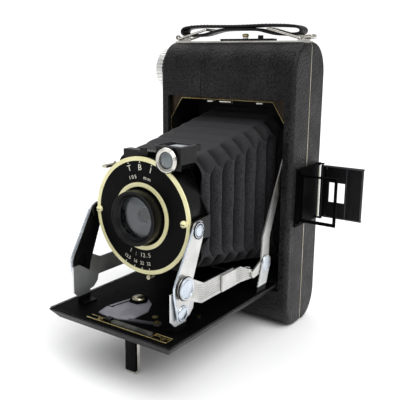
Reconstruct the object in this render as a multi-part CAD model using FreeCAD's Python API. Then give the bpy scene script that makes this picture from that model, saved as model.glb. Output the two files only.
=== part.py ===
import FreeCAD, Part
import math
import os

# A folding roll film camera with a drop bed, bellows and a self-erecting front.
# Millimetres.  +Z is up and +Y is towards the back.  The camera stands on its lower end,
# with the origin on the table under the middle of the body.  The bed folds down to the front.

Vector = FreeCAD.Vector

# Body and covering
width = 86.0
height = 156.0
front_y = -17.5
back_y = 19.0
seam_y = 1.4
corner_y = 13.5
corner_z = 17.0
edge_radius = 2.5
leather = 0.5
wall = 1.4
front_wall = 2.3
trim_width = 0.6
cover_gap = 0.12

# Front opening, its metal frame and the film chamber
opening_half = 37.7
opening_low = 22.2
opening_high = 126.5
opening_round = 1.6
frame_half = 36.8
frame_low = 24.6
frame_high = 124.7
frame_chamfer_x = 7.5
frame_chamfer_z = 11.5
frame_thick = 0.8
chamber_half = 37.0
chamber_wall = 0.8
gate_half = 40.9
chamber_low = 26.4
chamber_high = 126.0
gate_y = 12.0
gate_thick = 1.0
picture_width = 56.0
picture_height = 82.0

# Bed, which is also the door
bed_hinge_y = -15.4
bed_hinge_z = 27.6
bed_top = 27.5
bed_half = 37.4
bed_front_y = -113.2
bed_back_y = -18.1
bed_thick = 5.2
bed_sheet = 1.0
bed_slope = 3.4
bed_rim = 0.9
barrel_radius = 2.0
hinge_pin_radius = 0.9
leaf_thick = 0.8

# Pivots of the struts, in the side view
pivot_bed_front = (-96.5, 36.5)
pivot_knee = (-96.3, 48.5)
pivot_ear = (-84.4, 72.2)
pivot_bed_rear = (-28.5, 42.0)
pivot_tail = (-40.0, 39.0)
pivot_slot = (-9.0, 97.0)
strut_bend = (-28.0, 56.0)
brace_bend = (-83.0, 42.1)
brace_overlap_y = -56.5
brace_hidden_y = -68.0
brace_half_height = 4.6
pin_radius = 1.2
slot_pin_radius = 1.0
running = 0.05

# Sideways layers of the strut work, counted from the middle plane
ear_x = 29.8
arm_x = 31.0
front_brace_x = 32.5
rear_brace_x = 33.6
strut_x = 34.7
bracket_x = 35.8
link_thick = 0.8
ear_thick = 0.9
bracket_thick = 0.65

# Turns of the struts for each degree that the bed turns
arm_ratio = 0.708
strut_ratio = -1.327

# Lens and shutter
lens_z = 74.2
shutter_front_y = -86.7
shutter_radius = 28.6
shutter_body_radius = 27.9
rim_width = 2.0
well_radius = 15.0
well_ring = 1.4
well_depth = 6.0
lens_radius = 13.2
lens_front_y = -93.0
glass_radius = 9.8
standard_y = -75.0
standard_thick = 1.4
plate_hole = 12.0

# Turning reflecting finder
finder_left = 9.6
finder_right = 23.8
finder_low = 98.5
finder_high = 109.0
finder_front_y = -88.0
finder_pivot_x = 19.0
finder_lug_radius = 1.6
finder_lens_radius = 4.6

# Folding frame finder on the side
finder_base_low = 58.8
finder_base_high = 90.6
front_frame_low = 61.8
front_frame_high = 87.7
front_frame_y = -8.8
front_frame_reach = 65.3
rear_frame_low = 59.9
rear_frame_high = 89.5
rear_frame_y = 15.6
rear_frame_reach = 70.0
eye_window_x = 55.2
eye_window_half_x = 4.7
eye_window_half_z = 5.6
finder_sheet = 0.8
finder_pin_radius = 0.5
finder_barrel_radius = 0.62
base_thick = 0.7
ear_gap = 0.3
front_hinge_x = width / 2 + base_thick + 0.75
rear_hinge_x = width / 2 + base_thick + 2.4

# Winding knob and spool
knob_y = -4.0
knob_z = 140.5
knob_radius = 12.0
knob_thick = 5.2
shaft_radius = 2.0
spool_radius = 10.4
spool_half = 32.0
supply_z = 13.7

# Back
back_hinge_z = 2.2
back_hinge_room = 2.8
knuckle_half = 14.0
knuckle_end = 34.0
window_z = 50.0
window_radius = 5.5

# Stand leg
leg_x = 4.5
leg_width = 8.0
leg_thick = 1.6
leg_hinge_y = -100.0
leg_hinge_drop = 1.5

# Tripod bush
bush_x = -6.5
bush_y = -82.0
thread_radius = 3.175
bush_radius = 5.0

# Strap and latch on the top
top_plate_thick = 0.6
plate_front_y = -6.0
plate_back_y = 6.0
link_outer_x = 38.6
link_inner_x = 20.0
link_inner_z = height + 6.8
link_half = 5.6
lug_half_x = 2.0
lug_half_y = 3.4
lug_high = 2.5
lug_bore_z = 1.3
wire_radius = 0.7
strap_thick = 1.7
strap_half = 4.4
strap_z = height + 7.7
strap_low_z = height + 3.2
strap_fold_x = 35.6
strap_joined_x = 12.0
strap_slope_x = 23.0
nub_fixed_x = 3.4
nub_slide_x = 12.9

# Smaller things: film rollers, hinge knuckles, lever, dial planes, knurls and window flap
roller_y = 10.4
roller_low_z = chamber_low - 7.0
roller_high_z = chamber_high + 7.0
roller_half = 32.0
roller_axle = 0.9
roller_radius = 2.2
bed_knuckle_half = 13.8
lever_pivot = (18.6, -98.4)
face_y = shutter_front_y + 0.1
case_front_y = shutter_front_y + 0.8
knurls = 36
cover_pivot_x = 12.0
spool_pin_radius = 1.6


# Small helpers

def box(x0, x1, y0, y1, z0, z1):
    return Part.makeBox(x1 - x0, y1 - y0, z1 - z0, Vector(x0, y0, z0))


def rod_x(x0, x1, y, z, radius):
    return Part.makeCylinder(radius, x1 - x0, Vector(x0, y, z), Vector(1, 0, 0))


def rod_y(y0, y1, x, z, radius):
    return Part.makeCylinder(radius, y1 - y0, Vector(x, y0, z), Vector(0, 1, 0))


def rod_z(z0, z1, x, y, radius):
    return Part.makeCylinder(radius, z1 - z0, Vector(x, y, z0), Vector(0, 0, 1))


def prism(points, direction):
    wire = Part.makePolygon([Vector(*p) for p in points + points[:1]])
    return Part.Face(wire).extrude(Vector(*direction))


def side_plate(points, x0, x1):
    return prism([(x0, y, z) for y, z in points], (x1 - x0, 0, 0))


def front_plate(points, y0, y1):
    return prism([(x, y0, z) for x, z in points], (0, y1 - y0, 0))


def fuse(*shapes):
    result = shapes[0]
    for other in shapes[1:]:
        result = result.fuse(other)
    return result.removeSplitter()


def cut(shape, *tools):
    for tool in tools:
        shape = shape.cut(tool)
    return shape


def link(a, radius_a, b, radius_b, x0, x1):
    """A flat link in the side view: the hull of two circles."""
    dy = b[0] - a[0]
    dz = b[1] - a[1]
    length = math.hypot(dy, dz)
    lean = math.acos((radius_a - radius_b) / length)
    along = math.atan2(dz, dy)
    corners = []
    for centre, radius, sign in ((a, radius_a, 1), (b, radius_b, 1), (b, radius_b, -1), (a, radius_a, -1)):
        angle = along + sign * lean
        corners.append((centre[0] + radius * math.cos(angle), centre[1] + radius * math.sin(angle)))
    flat = side_plate(corners, x0, x1)
    return fuse(flat, rod_x(x0, x1, a[0], a[1], radius_a), rod_x(x0, x1, b[0], b[1], radius_b))


def both_sides(shape):
    return Part.makeCompound([shape, mirrored(shape)])


def mirrored(shape):
    return shape.mirror(Vector(0, 0, 0), Vector(1, 0, 0))


def save(shape, name):
    shape.exportStep("parts/" + name + ".step")


def quarter(centre, first, second):
    """A quarter of an ellipse about centre, from centre + first to centre + second."""
    middle = Vector(*centre)
    start = Vector(*first)
    end = Vector(*second)
    if start.Length >= end.Length:
        curve = Part.Ellipse(middle + start, middle + end, middle)
        return Part.Arc(curve, 0, math.pi / 2).toShape()
    curve = Part.Ellipse(middle + end, middle + start, middle)
    return Part.Arc(curve, 0, math.pi / 2).toShape()


def body_solid(inset):
    """The whole rounded body, shrunk on every side by inset."""
    half = width / 2 - inset
    across = corner_y - inset
    up = corner_z - inset
    low = inset
    high = height - inset
    front = front_y + inset
    back = back_y - inset
    edges = []
    for y, side in ((front + across, -1), (back - across, 1)):
        for z, end in ((low + up, -1), (high - up, 1)):
            edges.append(quarter((-half, y, z), (0, 0, end * up), (0, side * across, 0)))
    for z in (low, high):
        edges.append(Part.makeLine(Vector(-half, front + across, z), Vector(-half, back - across, z)))
    for y in (front, back):
        edges.append(Part.makeLine(Vector(-half, y, low + up), Vector(-half, y, high - up)))
    wire = Part.Wire(Part.__sortEdges__(edges))
    solid = Part.Face(wire).extrude(Vector(2 * half, 0, 0))
    rims = [e for e in solid.Edges if abs(abs(e.BoundBox.XMin) - half) < 0.01 and e.BoundBox.XLength < 0.01]
    return solid.makeFillet(edge_radius - inset, rims)


def rounded_opening(y0, y1):
    """The hole in the front of the body, with round upper corners."""
    solid = box(-opening_half, opening_half, y0, y1, opening_low, opening_high)
    upper = [e for e in solid.Edges
             if e.BoundBox.YLength > 0.1 and e.BoundBox.XLength < 0.01 and e.BoundBox.ZMin > height / 2]
    return solid.makeFillet(opening_round, upper)


def turned(point, centre, degrees):
    """A side view point turned about a centre in the closing sense."""
    angle = math.radians(degrees)
    y = point[0] - centre[0]
    z = point[1] - centre[1]
    return (centre[0] + y * math.cos(angle) + z * math.sin(angle),
            centre[1] - y * math.sin(angle) + z * math.cos(angle))


def slot_travel():
    """Every place of the strut's upper pin while the bed closes."""
    hinge = (bed_hinge_y, bed_hinge_z)
    places = []
    for bed_angle in range(0, 91, 3):
        base = turned(pivot_bed_rear, hinge, bed_angle)
        reach = (pivot_slot[0] - pivot_bed_rear[0], pivot_slot[1] - pivot_bed_rear[1])
        tip = (base[0] + reach[0], base[1] + reach[1])
        places.append(turned(tip, base, bed_angle * (1 + strut_ratio)))
    return places


# Shared solids of the body
outer = body_solid(0.0)
under_leather = body_solid(leather)
inner = body_solid(leather + wall)
big = 2 * height
front_part = box(-big, big, -big, seam_y - trim_width, -big, big)
trim_part = box(-big, big, seam_y - trim_width, seam_y, -big, big)
back_part = box(-big, big, seam_y + cover_gap, big, -big, big)
inner_front_y = front_y + leather + front_wall
cavity = inner.common(box(-big, big, inner_front_y, big, -big, big))
spool_y = knob_y
knuckle_room = 0.3


def back_hinge_clearance():
    room = barrel_radius + knuckle_room
    reach = knuckle_end + knuckle_room
    slot = box(-reach, reach, seam_y - back_hinge_room, seam_y + back_hinge_room, -1, back_hinge_z)
    return slot.fuse(rod_x(-reach, reach, seam_y, back_hinge_z, room))


hinge_space = back_hinge_clearance()
shaft_hole = rod_x(-width, -spool_half, knob_y, knob_z, shaft_radius + running)


def body_shell():
    shell = under_leather.common(front_part).cut(cavity)
    shell = cut(shell, rounded_opening(front_y - 1, inner_front_y + 1), hinge_space, shaft_hole)
    pin = spool_pin_radius
    inside = width / 2 - leather - wall
    upper = rod_x(spool_half - 3, inside + 0.2, spool_y, knob_z, pin)
    lower = rod_x(spool_half - 3, inside + 0.2, spool_y, supply_z, pin)
    return fuse(shell, upper, lower, mirrored(lower))


def body_leather():
    skin = outer.common(front_part).cut(under_leather)
    skin = cut(skin, rounded_opening(front_y - 1, front_y + leather + 1), hinge_space)
    skin = skin.cut(rod_x(-width, 0, knob_y, knob_z, shaft_radius + 0.6))
    return skin.cut(box(-big, big, plate_front_y, big, height - leather - 0.01, big))


def seam_trim():
    ring = outer.common(trim_part).cut(inner)
    ring = ring.cut(hinge_space)
    return ring.cut(box(-big, big, plate_front_y, big, height - leather - 0.01, big))


def opening_outline():
    return [(-frame_half, frame_low), (frame_half, frame_low),
            (frame_half, frame_high - frame_chamfer_z), (frame_half - frame_chamfer_x, frame_high),
            (-frame_half + frame_chamfer_x, frame_high), (-frame_half, frame_high - frame_chamfer_z)]


def opening_frame():
    """Flat strips round the opening, with a gusset in each corner, and the catches under the top strip."""
    margin = 4.2
    y0 = inner_front_y
    y1 = y0 + frame_thick
    plate = box(-frame_half - margin, frame_half + margin, y0, y1, frame_low - 5.6, frame_high + 5.3)
    plate = plate.cut(front_plate(opening_outline(), y0 - 1, y1 + 1))
    top = plate.common(box(-big, big, y0, y1, frame_high, big))
    bottom = plate.common(box(-big, big, y0, y1, -big, frame_low))
    side = plate.common(box(frame_half, big, y0, y1, frame_low, frame_high))
    gussets = plate.common(box(-frame_half, frame_half, y0, y1, frame_low, frame_high))
    return Part.makeCompound([top, bottom, side, mirrored(side)] + gussets.Solids + door_catches())


def door_catches():
    """Tabs and a catch under the upper edge of the opening."""
    y0 = inner_front_y + frame_thick
    tabs = [box(x - 1.7, x + 1.7, y0, y0 + 1.6, frame_high - 0.9, frame_high + 0.4) for x in (-10.0, 21.5)]
    catch = box(-4.0, 3.6, y0, y0 + 1.6, frame_high - 1.6, frame_high + 0.6)
    rivets = [rod_y(y0, y0 + 0.8, x, frame_high + 0.6, 0.7) for x in (12.9, 27.0)]
    return tabs + [catch] + rivets


def chamber_box():
    """Folded walls round the bellows' room, with a slot each side for the strut's pin, and the film gate."""
    y0 = inner_front_y + frame_thick
    outer_half = chamber_half + chamber_wall
    bottom = box(-outer_half, outer_half, y0, gate_y, chamber_low - chamber_wall, chamber_low)
    bottom = bottom.cut(rod_x(-31, 31, bed_hinge_y, bed_hinge_z, barrel_radius + 0.5))
    top = box(-outer_half, outer_half, y0 + 3, gate_y, chamber_high, chamber_high + chamber_wall)
    places = slot_travel()
    room = slot_pin_radius + 0.8
    low_y = min(p[0] for p in places) - room
    high_y = max(p[0] for p in places) + room
    low_z = min(p[1] for p in places) - room
    high_z = max(p[1] for p in places) + room
    sides = []
    for ya, yb, za, zb in ((high_y, gate_y, chamber_low, chamber_high),
                           (y0, high_y, chamber_low, low_z),
                           (y0, high_y, high_z, chamber_high),
                           (y0, low_y, low_z, high_z)):
        side = box(chamber_half, outer_half, ya, yb, za, zb)
        sides += [side, mirrored(side)]
    return Part.makeCompound([bottom, top] + film_gate() + sides)


def film_gate():
    """Four flat strips round the picture, and the ears that hold the rollers."""
    y1 = gate_y + gate_thick
    low, high = chamber_low - 4.4, chamber_high + 4.0
    picture_low, picture_high = lens_z - picture_height / 2, lens_z + picture_height / 2
    strips = [box(-gate_half, gate_half, gate_y, y1, low, picture_low),
              box(-gate_half, gate_half, gate_y, y1, picture_high, high)]
    side = box(picture_width / 2, gate_half, gate_y, y1, picture_low, picture_high)
    strips += [side, mirrored(side)]
    ears = []
    for z0, z1 in ((roller_low_z - 2, low), (high, roller_high_z + 2)):
        z = roller_low_z if z0 < lens_z else roller_high_z
        ear = box(roller_half + 1.2, roller_half + 2.2, roller_y - 2, y1, z0, z1)
        ear = ear.cut(rod_x(-40, 40, roller_y, z, roller_axle + running))
        ears += [ear, mirrored(ear)]
    return strips + ears


def film_roller(z):
    drum = rod_x(-roller_half, roller_half, roller_y, z, roller_radius)
    reach = roller_half + 2.1
    return fuse(drum, rod_x(-reach, reach, roller_y, z, roller_axle))


def top_plate():
    z0 = height - leather
    plate = box(-width / 2 + 2, width / 2 - 2, plate_front_y + 0.1, seam_y, z0, height + top_plate_thick)
    over = box(-width / 2 + 2, width / 2 - 2, seam_y, plate_back_y, height + 0.05, height + top_plate_thick)
    nub = rod_z(height + top_plate_thick, height + 3.6, nub_fixed_x, -0.4, 1.5)
    return Part.makeCompound([fuse(plate, over, nub)] + strap_lugs())


def strap_lugs():
    """Two low saddles near the ends of the top, which hold the wire links."""
    z0 = height + top_plate_thick
    saddle = box(link_outer_x - lug_half_x, link_outer_x + lug_half_x, -lug_half_y, lug_half_y, z0, z0 + lug_high)
    bore = rod_y(-lug_half_y - 1, lug_half_y + 1, link_outer_x, z0 + lug_bore_z, wire_radius + running)
    saddle = saddle.cut(bore)
    return [saddle, mirrored(saddle)]


def strap_links():
    """Closed wire loops, which lean inwards from the saddles into the strap's end loops."""
    outer_point = (link_outer_x, height + top_plate_thick + lug_bore_z)
    inner_point = (link_inner_x, link_inner_z)
    wires = []
    for x, z in (inner_point, outer_point):
        wires.append(rod_y(-link_half, link_half, x, z, wire_radius))
    run = Vector(outer_point[0] - inner_point[0], 0, outer_point[1] - inner_point[1])
    for y in (-link_half, link_half):
        wires.append(Part.makeCylinder(wire_radius, run.Length, Vector(inner_point[0], y, inner_point[1]), run))
        for x, z in (inner_point, outer_point):
            wires.append(Part.makeSphere(wire_radius, Vector(x, y, z)))
    return both_sides(fuse(*wires))


def strap_layer(outline):
    """One length of the strap, drawn by its side outline as (x, z) points."""
    points = [Vector(x, -strap_half, z) for x, z in outline]
    return Part.Face(Part.makePolygon(points + points[:1])).extrude(Vector(0, 2 * strap_half, 0))


def carry_strap():
    """The leather strap: a flat top, and a lower layer that drops at both ends to the folds round the links."""
    top = strap_z + strap_thick
    low = strap_low_z
    fold_x = strap_fold_x
    upper = box(-fold_x, fold_x, -strap_half, strap_half, strap_z, top)
    lining = box(-strap_joined_x, strap_joined_x, -strap_half, strap_half, strap_z - strap_thick, strap_z)
    slope = strap_layer([(strap_joined_x, strap_z), (strap_joined_x, strap_z - strap_thick),
                         (strap_slope_x, low), (strap_slope_x, low + strap_thick)])
    under = box(strap_slope_x, fold_x, -strap_half, strap_half, low, low + strap_thick)
    radius = (top - low) / 2
    fold = rod_y(-strap_half, strap_half, fold_x, low + radius, radius)
    fold = fold.cut(rod_y(-strap_half - 1, strap_half + 1, fold_x, low + radius, radius - strap_thick))
    fold = fold.common(box(fold_x, big, -big, big, 0, big))
    ends = [slope, under, fold]
    return Part.makeCompound([upper, lining] + ends + [mirrored(shape) for shape in ends])


def finder_base():
    """The plate on the side, with a pair of ears and a pin for each leaf."""
    x0 = width / 2
    low = finder_base_low
    high = finder_base_high
    foot = box(x0, x0 + base_thick, front_frame_y - 2.4, seam_y - 1, low, high)
    over = box(x0 + 0.15, x0 + base_thick, seam_y - 1, rear_frame_y + 2.4, low, high)
    shape = fuse(foot, over)
    for hinge_x, y, leaf_low, leaf_high in ((front_hinge_x, front_frame_y, front_frame_low, front_frame_high),
                                            (rear_hinge_x, rear_frame_y, rear_frame_low, rear_frame_high)):
        ear_low = leaf_low - ear_gap
        ear_high = leaf_high + ear_gap
        ear_height = ear_low - low if y == rear_frame_y else 1.2
        shape = fuse(shape, rod_z(ear_low - ear_height, ear_high + ear_height, hinge_x, y, finder_pin_radius))
        for z0 in (ear_low - ear_height, ear_high):
            shape = fuse(shape, box(x0 + base_thick - 0.1, hinge_x + 0.6, y - 0.9, y + 0.9, z0, z0 + ear_height))
    screw = rod_x(x0 + base_thick, x0 + base_thick + 0.5, front_frame_y + 2.6, high - 1.6, 0.8)
    return fuse(shape, screw)


def finder_leaf(hinge_x, y, reach, low, high, hole):
    """A pierced leaf with a barrel along its hinge side."""
    half = finder_sheet / 2
    leaf = box(hinge_x, reach, y - half, y + half, low, high)
    leaf = leaf.cut(box(hole[0], hole[1], y - 2, y + 2, hole[2], hole[3]))
    leaf = leaf.fuse(rod_z(low, high, hinge_x, y, finder_barrel_radius))
    return leaf.cut(rod_z(low - 1, high + 1, hinge_x, y, finder_pin_radius + running))


def finder_front_frame():
    low = front_frame_low
    high = front_frame_high
    hole = (front_hinge_x + 2.2, front_frame_reach - 1.5, low + 1.7, high - 1.1)
    return finder_leaf(front_hinge_x, front_frame_y, front_frame_reach, low, high, hole)


def finder_rear_frame():
    low = rear_frame_low
    high = rear_frame_high
    y = rear_frame_y
    middle_z = (low + high) / 2
    hole = (eye_window_x - eye_window_half_x, eye_window_x + eye_window_half_x,
            middle_z - eye_window_half_z, middle_z + eye_window_half_z)
    leaf = finder_leaf(rear_hinge_x, y, rear_frame_reach, low, high, hole)
    half = finder_sheet / 2
    lips = [box(rear_hinge_x + 1.2, rear_frame_reach, y + half, y + half + 0.7, z, z + 0.8)
            for z in (low, high - 0.8)]
    ribs = [box(x, x + 0.8, y - half - 0.5, y - half, low + 2, high - 2)
            for x in (eye_window_x - eye_window_half_x - 1.9, eye_window_x + eye_window_half_x + 1.9)]
    return fuse(leaf, *(lips + ribs))


# Bed and what it carries

def bed_block(inset, z_top):
    """The bed's outer form, shrunk by inset. Its sides slope inwards below a narrow upright rim."""
    half = bed_half - inset
    front = bed_front_y + inset
    low = bed_top - bed_thick + inset
    shoulder = bed_top - bed_rim
    lean = bed_slope / (shoulder - low)
    solid = box(-half, half, front, bed_back_y - inset, low, z_top)
    outline = [(-lean * (shoulder - low + 1), low - 1), (lean, shoulder + 1), (5, shoulder + 1), (5, low - 1)]
    side = [Vector(half + x, -big, z) for x, z in outline]
    side = Part.Face(Part.makePolygon(side + side[:1])).extrude(Vector(0, 2 * big, 0))
    nose = [Vector(-big, front - x, z) for x, z in outline]
    nose = Part.Face(Part.makePolygon(nose + nose[:1])).extrude(Vector(2 * big, 0, 0))
    return cut(solid, side, mirrored(side), nose)


def bed_leather():
    skin = bed_block(0.0, bed_top - 0.3).cut(bed_block(leather, bed_top + 1))
    return cut(skin, rod_z(0, bed_top, bush_x, bush_y, bush_radius + 0.2))


def bed_tray():
    floor_top = bed_top - bed_sheet
    tray = bed_block(leather, floor_top).cut(bed_block(leather + bed_sheet, floor_top + 1))
    tray = tray.cut(rod_z(0, bed_top, bush_x, bush_y, bush_radius + 0.2))
    return fuse(tray, leg_hinge())


def bed_plate():
    plate = bed_block(leather, bed_top)
    plate = plate.common(box(-big, big, -big, big, bed_top - bed_sheet, bed_top + 1))
    return plate.cut(rod_z(0, bed_top + 1, bush_x, bush_y, bush_radius - 1.0))


def tripod_bush():
    low = bed_top - bed_thick
    outer_bush = rod_z(low, bed_top - bed_sheet, bush_x, bush_y, bush_radius)
    dome = rod_z(bed_top - bed_sheet - 0.01, bed_top + 1.8, bush_x, bush_y, bush_radius - 1.05)
    bush = fuse(outer_bush, dome)
    return bush.cut(rod_z(low - 1, low + 5.6, bush_x, bush_y, thread_radius))


def bed_hinge_sleeve():
    """The body's barrel, standing on the lower edge of the opening frame."""
    barrel = rod_x(-bed_knuckle_half, bed_knuckle_half, bed_hinge_y, bed_hinge_z, barrel_radius)
    base = box(-bed_knuckle_half, bed_knuckle_half, inner_front_y - 1.5, inner_front_y,
               opening_low + 0.1, bed_hinge_z)
    bore = rod_x(-40, 40, bed_hinge_y, bed_hinge_z, hinge_pin_radius)
    pin = rod_x(-30.0, 30.0, bed_hinge_y, bed_hinge_z, hinge_pin_radius)
    return fuse(fuse(barrel, base).cut(bore), pin)


def bed_hinge_leaves():
    x0 = bed_knuckle_half + 0.3
    x1 = 30.0
    barrel = rod_x(x0, x1, bed_hinge_y, bed_hinge_z, barrel_radius)
    leaf = box(x0, x1, bed_back_y - 6.0, bed_hinge_y, bed_top, bed_top + leaf_thick)
    neck = box(x0, x1, bed_back_y, bed_hinge_y, bed_top - 0.9, bed_top)
    sleeve = fuse(barrel, leaf, neck)
    return both_sides(sleeve.cut(rod_x(-40, 40, bed_hinge_y, bed_hinge_z, hinge_pin_radius + running)))


def bed_front_fittings():
    """The latch plate along the bed's front edge, with its scale strip."""
    z0 = bed_top
    plate = box(-8.6, 33.0, -112.4, -104.6, z0, z0 + 0.5)
    corner = prism([(-8.6, -105.0, z0), (4.2, -86.5, z0), (-7.4, -75.6, z0), (-14.0, -101.0, z0)], (0, 0, 0.5))
    corner = corner.cut(rod_z(z0 - 1, z0 + 2, bush_x, bush_y, bush_radius - 0.9))
    strip = box(1.0, 24.0, -108.4, -105.6, z0 + 0.5, z0 + 1.0)
    return fuse(plate, corner, strip)


def bed_lever():
    """A flat lever that turns on a screw and frees the bed's catch."""
    z0 = bed_top + 0.5
    arm = prism([(5.0, -103.9, z0), (19.5, -99.4, z0), (19.0, -97.4, z0), (4.6, -101.6, z0)], (0, 0, 0.8))
    eye = rod_z(z0, z0 + 0.8, lever_pivot[0], lever_pivot[1], 2.2)
    return fuse(arm, eye).cut(rod_z(z0 - 1, z0 + 3, lever_pivot[0], lever_pivot[1], 0.9 + running))


def bed_screws():
    z0 = bed_top
    spots = ((-6.6, -109.4, 1.3, 0.5), (30.0, -108.5, 1.3, 0.5), (12.2, -92.0, 1.5, 0.0), (28.5, -79.0, 0.9, 0.0))
    heads = [rod_z(z0 + lift, z0 + lift + 0.6, x, y, r) for x, y, r, lift in spots]
    post = rod_z(z0, z0 + 1.5, lever_pivot[0], lever_pivot[1], 0.9)
    head = rod_z(z0 + 1.4, z0 + 2.0, lever_pivot[0], lever_pivot[1], 1.6)
    return Part.makeCompound(heads + [fuse(post, head)])


def bed_catch():
    """The spring catch that locks the closed bed, pressed from outside."""
    z0 = bed_top
    tab = box(-3.0, 0.2, bed_front_y + 3.4, bed_front_y + 5.8, z0 + 0.55, z0 + 2.6)
    return tab


def bed_brackets():
    y, z = pivot_bed_front
    foot = bed_top
    outline = [(y - 4.5, z - 5.2), (y + 6.5, z - 3.4), (y + 9.4, z - 0.8), (y + 10.4, z + 3.0), (y + 3.5, z + 6.5),
               (y - 2.5, z + 10.5), (y - 7.0, z + 10.5), (y - 7.0, z - 2.6)]
    plate = side_plate(outline, ear_x, ear_x + ear_thick)
    neck = box(ear_x, ear_x + ear_thick, y - 4.0, y + 4.0, foot, z)
    front = fuse(plate, neck, box(ear_x - 4.4, ear_x, y - 4.0, y + 4.0, foot, foot + 0.8))
    y, z = pivot_bed_rear
    plate = side_plate([(y - 10.0, foot), (y - 1.0, foot), (y + 4.2, z), (y - 4.4, z)],
                       bracket_x, bracket_x + bracket_thick)
    rear = fuse(plate, rod_x(bracket_x, bracket_x + bracket_thick, y, z, 4.4))
    return both_sides(Part.makeCompound([front, rear]))


def bed_pivots():
    """Pins of the strut work that stand on the bed's brackets."""
    y, z = pivot_bed_front
    outside = arm_x + ear_thick
    front = fuse(rod_x(ear_x + ear_thick, outside + 0.1, y, z, pin_radius),
                 rod_x(outside + 0.05, outside + 0.4, y, z, 2.4))
    y, z = pivot_bed_rear
    face = bracket_x + bracket_thick
    rear = rod_x(strut_x - 0.1, bracket_x, y, z, pin_radius)
    head = rod_x(face, face + 0.2, y, z, 4.0)
    return both_sides(Part.makeCompound([front, rear, head]))


def stand_leg():
    """The leg under the bed, with its hinge barrel."""
    z_hinge = bed_top - bed_thick - leg_hinge_drop
    half = leg_width / 2
    blade = box(leg_x - half, leg_x + half, leg_hinge_y - leg_thick / 2, leg_hinge_y + leg_thick / 2, 0, z_hinge)
    round_edges = [e for e in blade.Edges if e.BoundBox.YLength > 0.1 and e.BoundBox.ZMax < 0.01
                   and e.BoundBox.XLength < 0.01]
    blade = blade.makeFillet(2.4, round_edges)
    barrel = rod_x(leg_x - half, leg_x + half, leg_hinge_y, z_hinge, 1.3)
    bore = rod_x(leg_x - 20, leg_x + 20, leg_hinge_y, z_hinge, 0.6 + running)
    return fuse(blade, barrel).cut(bore)


def leg_hinge():
    z_hinge = bed_top - bed_thick - leg_hinge_drop
    half = leg_width / 2 + 0.2
    pin = rod_x(leg_x - half - 1, leg_x + half + 1, leg_hinge_y, z_hinge, 0.6)
    cheeks = []
    for x0 in (leg_x - half - 1.0, leg_x + half):
        cheeks.append(box(x0, x0 + 1.0, leg_hinge_y - 1.4, leg_hinge_y + 1.4, z_hinge - 1.0, bed_top - bed_thick))
    return fuse(pin, *cheeks)


# Strut work, drawn for the right side

def front_arm():
    x0 = arm_x
    x1 = arm_x + ear_thick
    plate = fuse(link(pivot_bed_front, 3.6, pivot_knee, 6.2, x0, x1), link(pivot_knee, 6.2, pivot_ear, 4.4, x0, x1))
    for point in (pivot_bed_front, pivot_ear):
        plate = plate.cut(rod_x(x0 - 1, x1 + 1, point[0], point[1], pin_radius + running))
    cap_x = front_brace_x + link_thick + 0.05
    pin = rod_x(x1, cap_x + 0.1, pivot_knee[0], pivot_knee[1], pin_radius)
    cap = rod_x(cap_x, cap_x + 0.7, pivot_knee[0], pivot_knee[1], 5.2)
    return fuse(plate, pin, cap)


def front_brace():
    x0 = front_brace_x
    x1 = x0 + link_thick
    end = (brace_overlap_y, brace_bend[1])
    shape = fuse(link(pivot_knee, 5.0, brace_bend, brace_half_height, x0, x1),
                 side_plate([(brace_bend[0], brace_bend[1] - brace_half_height),
                             (end[0], end[1] - brace_half_height), (end[0], end[1] + brace_half_height),
                             (brace_bend[0], brace_bend[1] + brace_half_height)], x0, x1))
    return shape.cut(rod_x(x0 - 1, x1 + 1, pivot_knee[0], pivot_knee[1], pin_radius + running))


def rear_brace():
    x0 = rear_brace_x
    x1 = x0 + link_thick
    half = brace_half_height - 0.5
    z = brace_bend[1]
    start = brace_hidden_y
    taper = brace_overlap_y + 5.0
    bar = side_plate([(start, z - half), (taper, z - half), (taper, z + half), (start, z + half)], x0, x1)
    tail = side_plate([(taper, z - half), (pivot_tail[0], pivot_tail[1] - 2.2),
                       (pivot_tail[0], pivot_tail[1] + 2.2), (taper, z + half)], x0, x1)
    eye = rod_x(x0, x1, pivot_tail[0], pivot_tail[1], 2.2)
    shape = fuse(bar, tail, eye)
    return shape.cut(rod_x(x0 - 1, x1 + 1, pivot_tail[0], pivot_tail[1], pin_radius + running))


def rear_strut():
    x0 = strut_x
    x1 = x0 + link_thick
    plate = fuse(link(pivot_tail, 2.0, pivot_bed_rear, 3.8, x0, x1), link(pivot_bed_rear, 3.8, strut_bend, 3.6, x0, x1),
                 link(strut_bend, 3.6, pivot_slot, 1.8, x0, x1))
    plate = plate.cut(rod_x(x0 - 1, x1 + 1, pivot_bed_rear[0], pivot_bed_rear[1], pin_radius + running))
    slot_pin = rod_x(x1, chamber_half + chamber_wall + 0.3, pivot_slot[0], pivot_slot[1], slot_pin_radius)
    tail_pin = rod_x(rear_brace_x - 0.1, x0, pivot_tail[0], pivot_tail[1], pin_radius)
    return fuse(plate, slot_pin, tail_pin)


# Standard, shutter and lens

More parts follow.
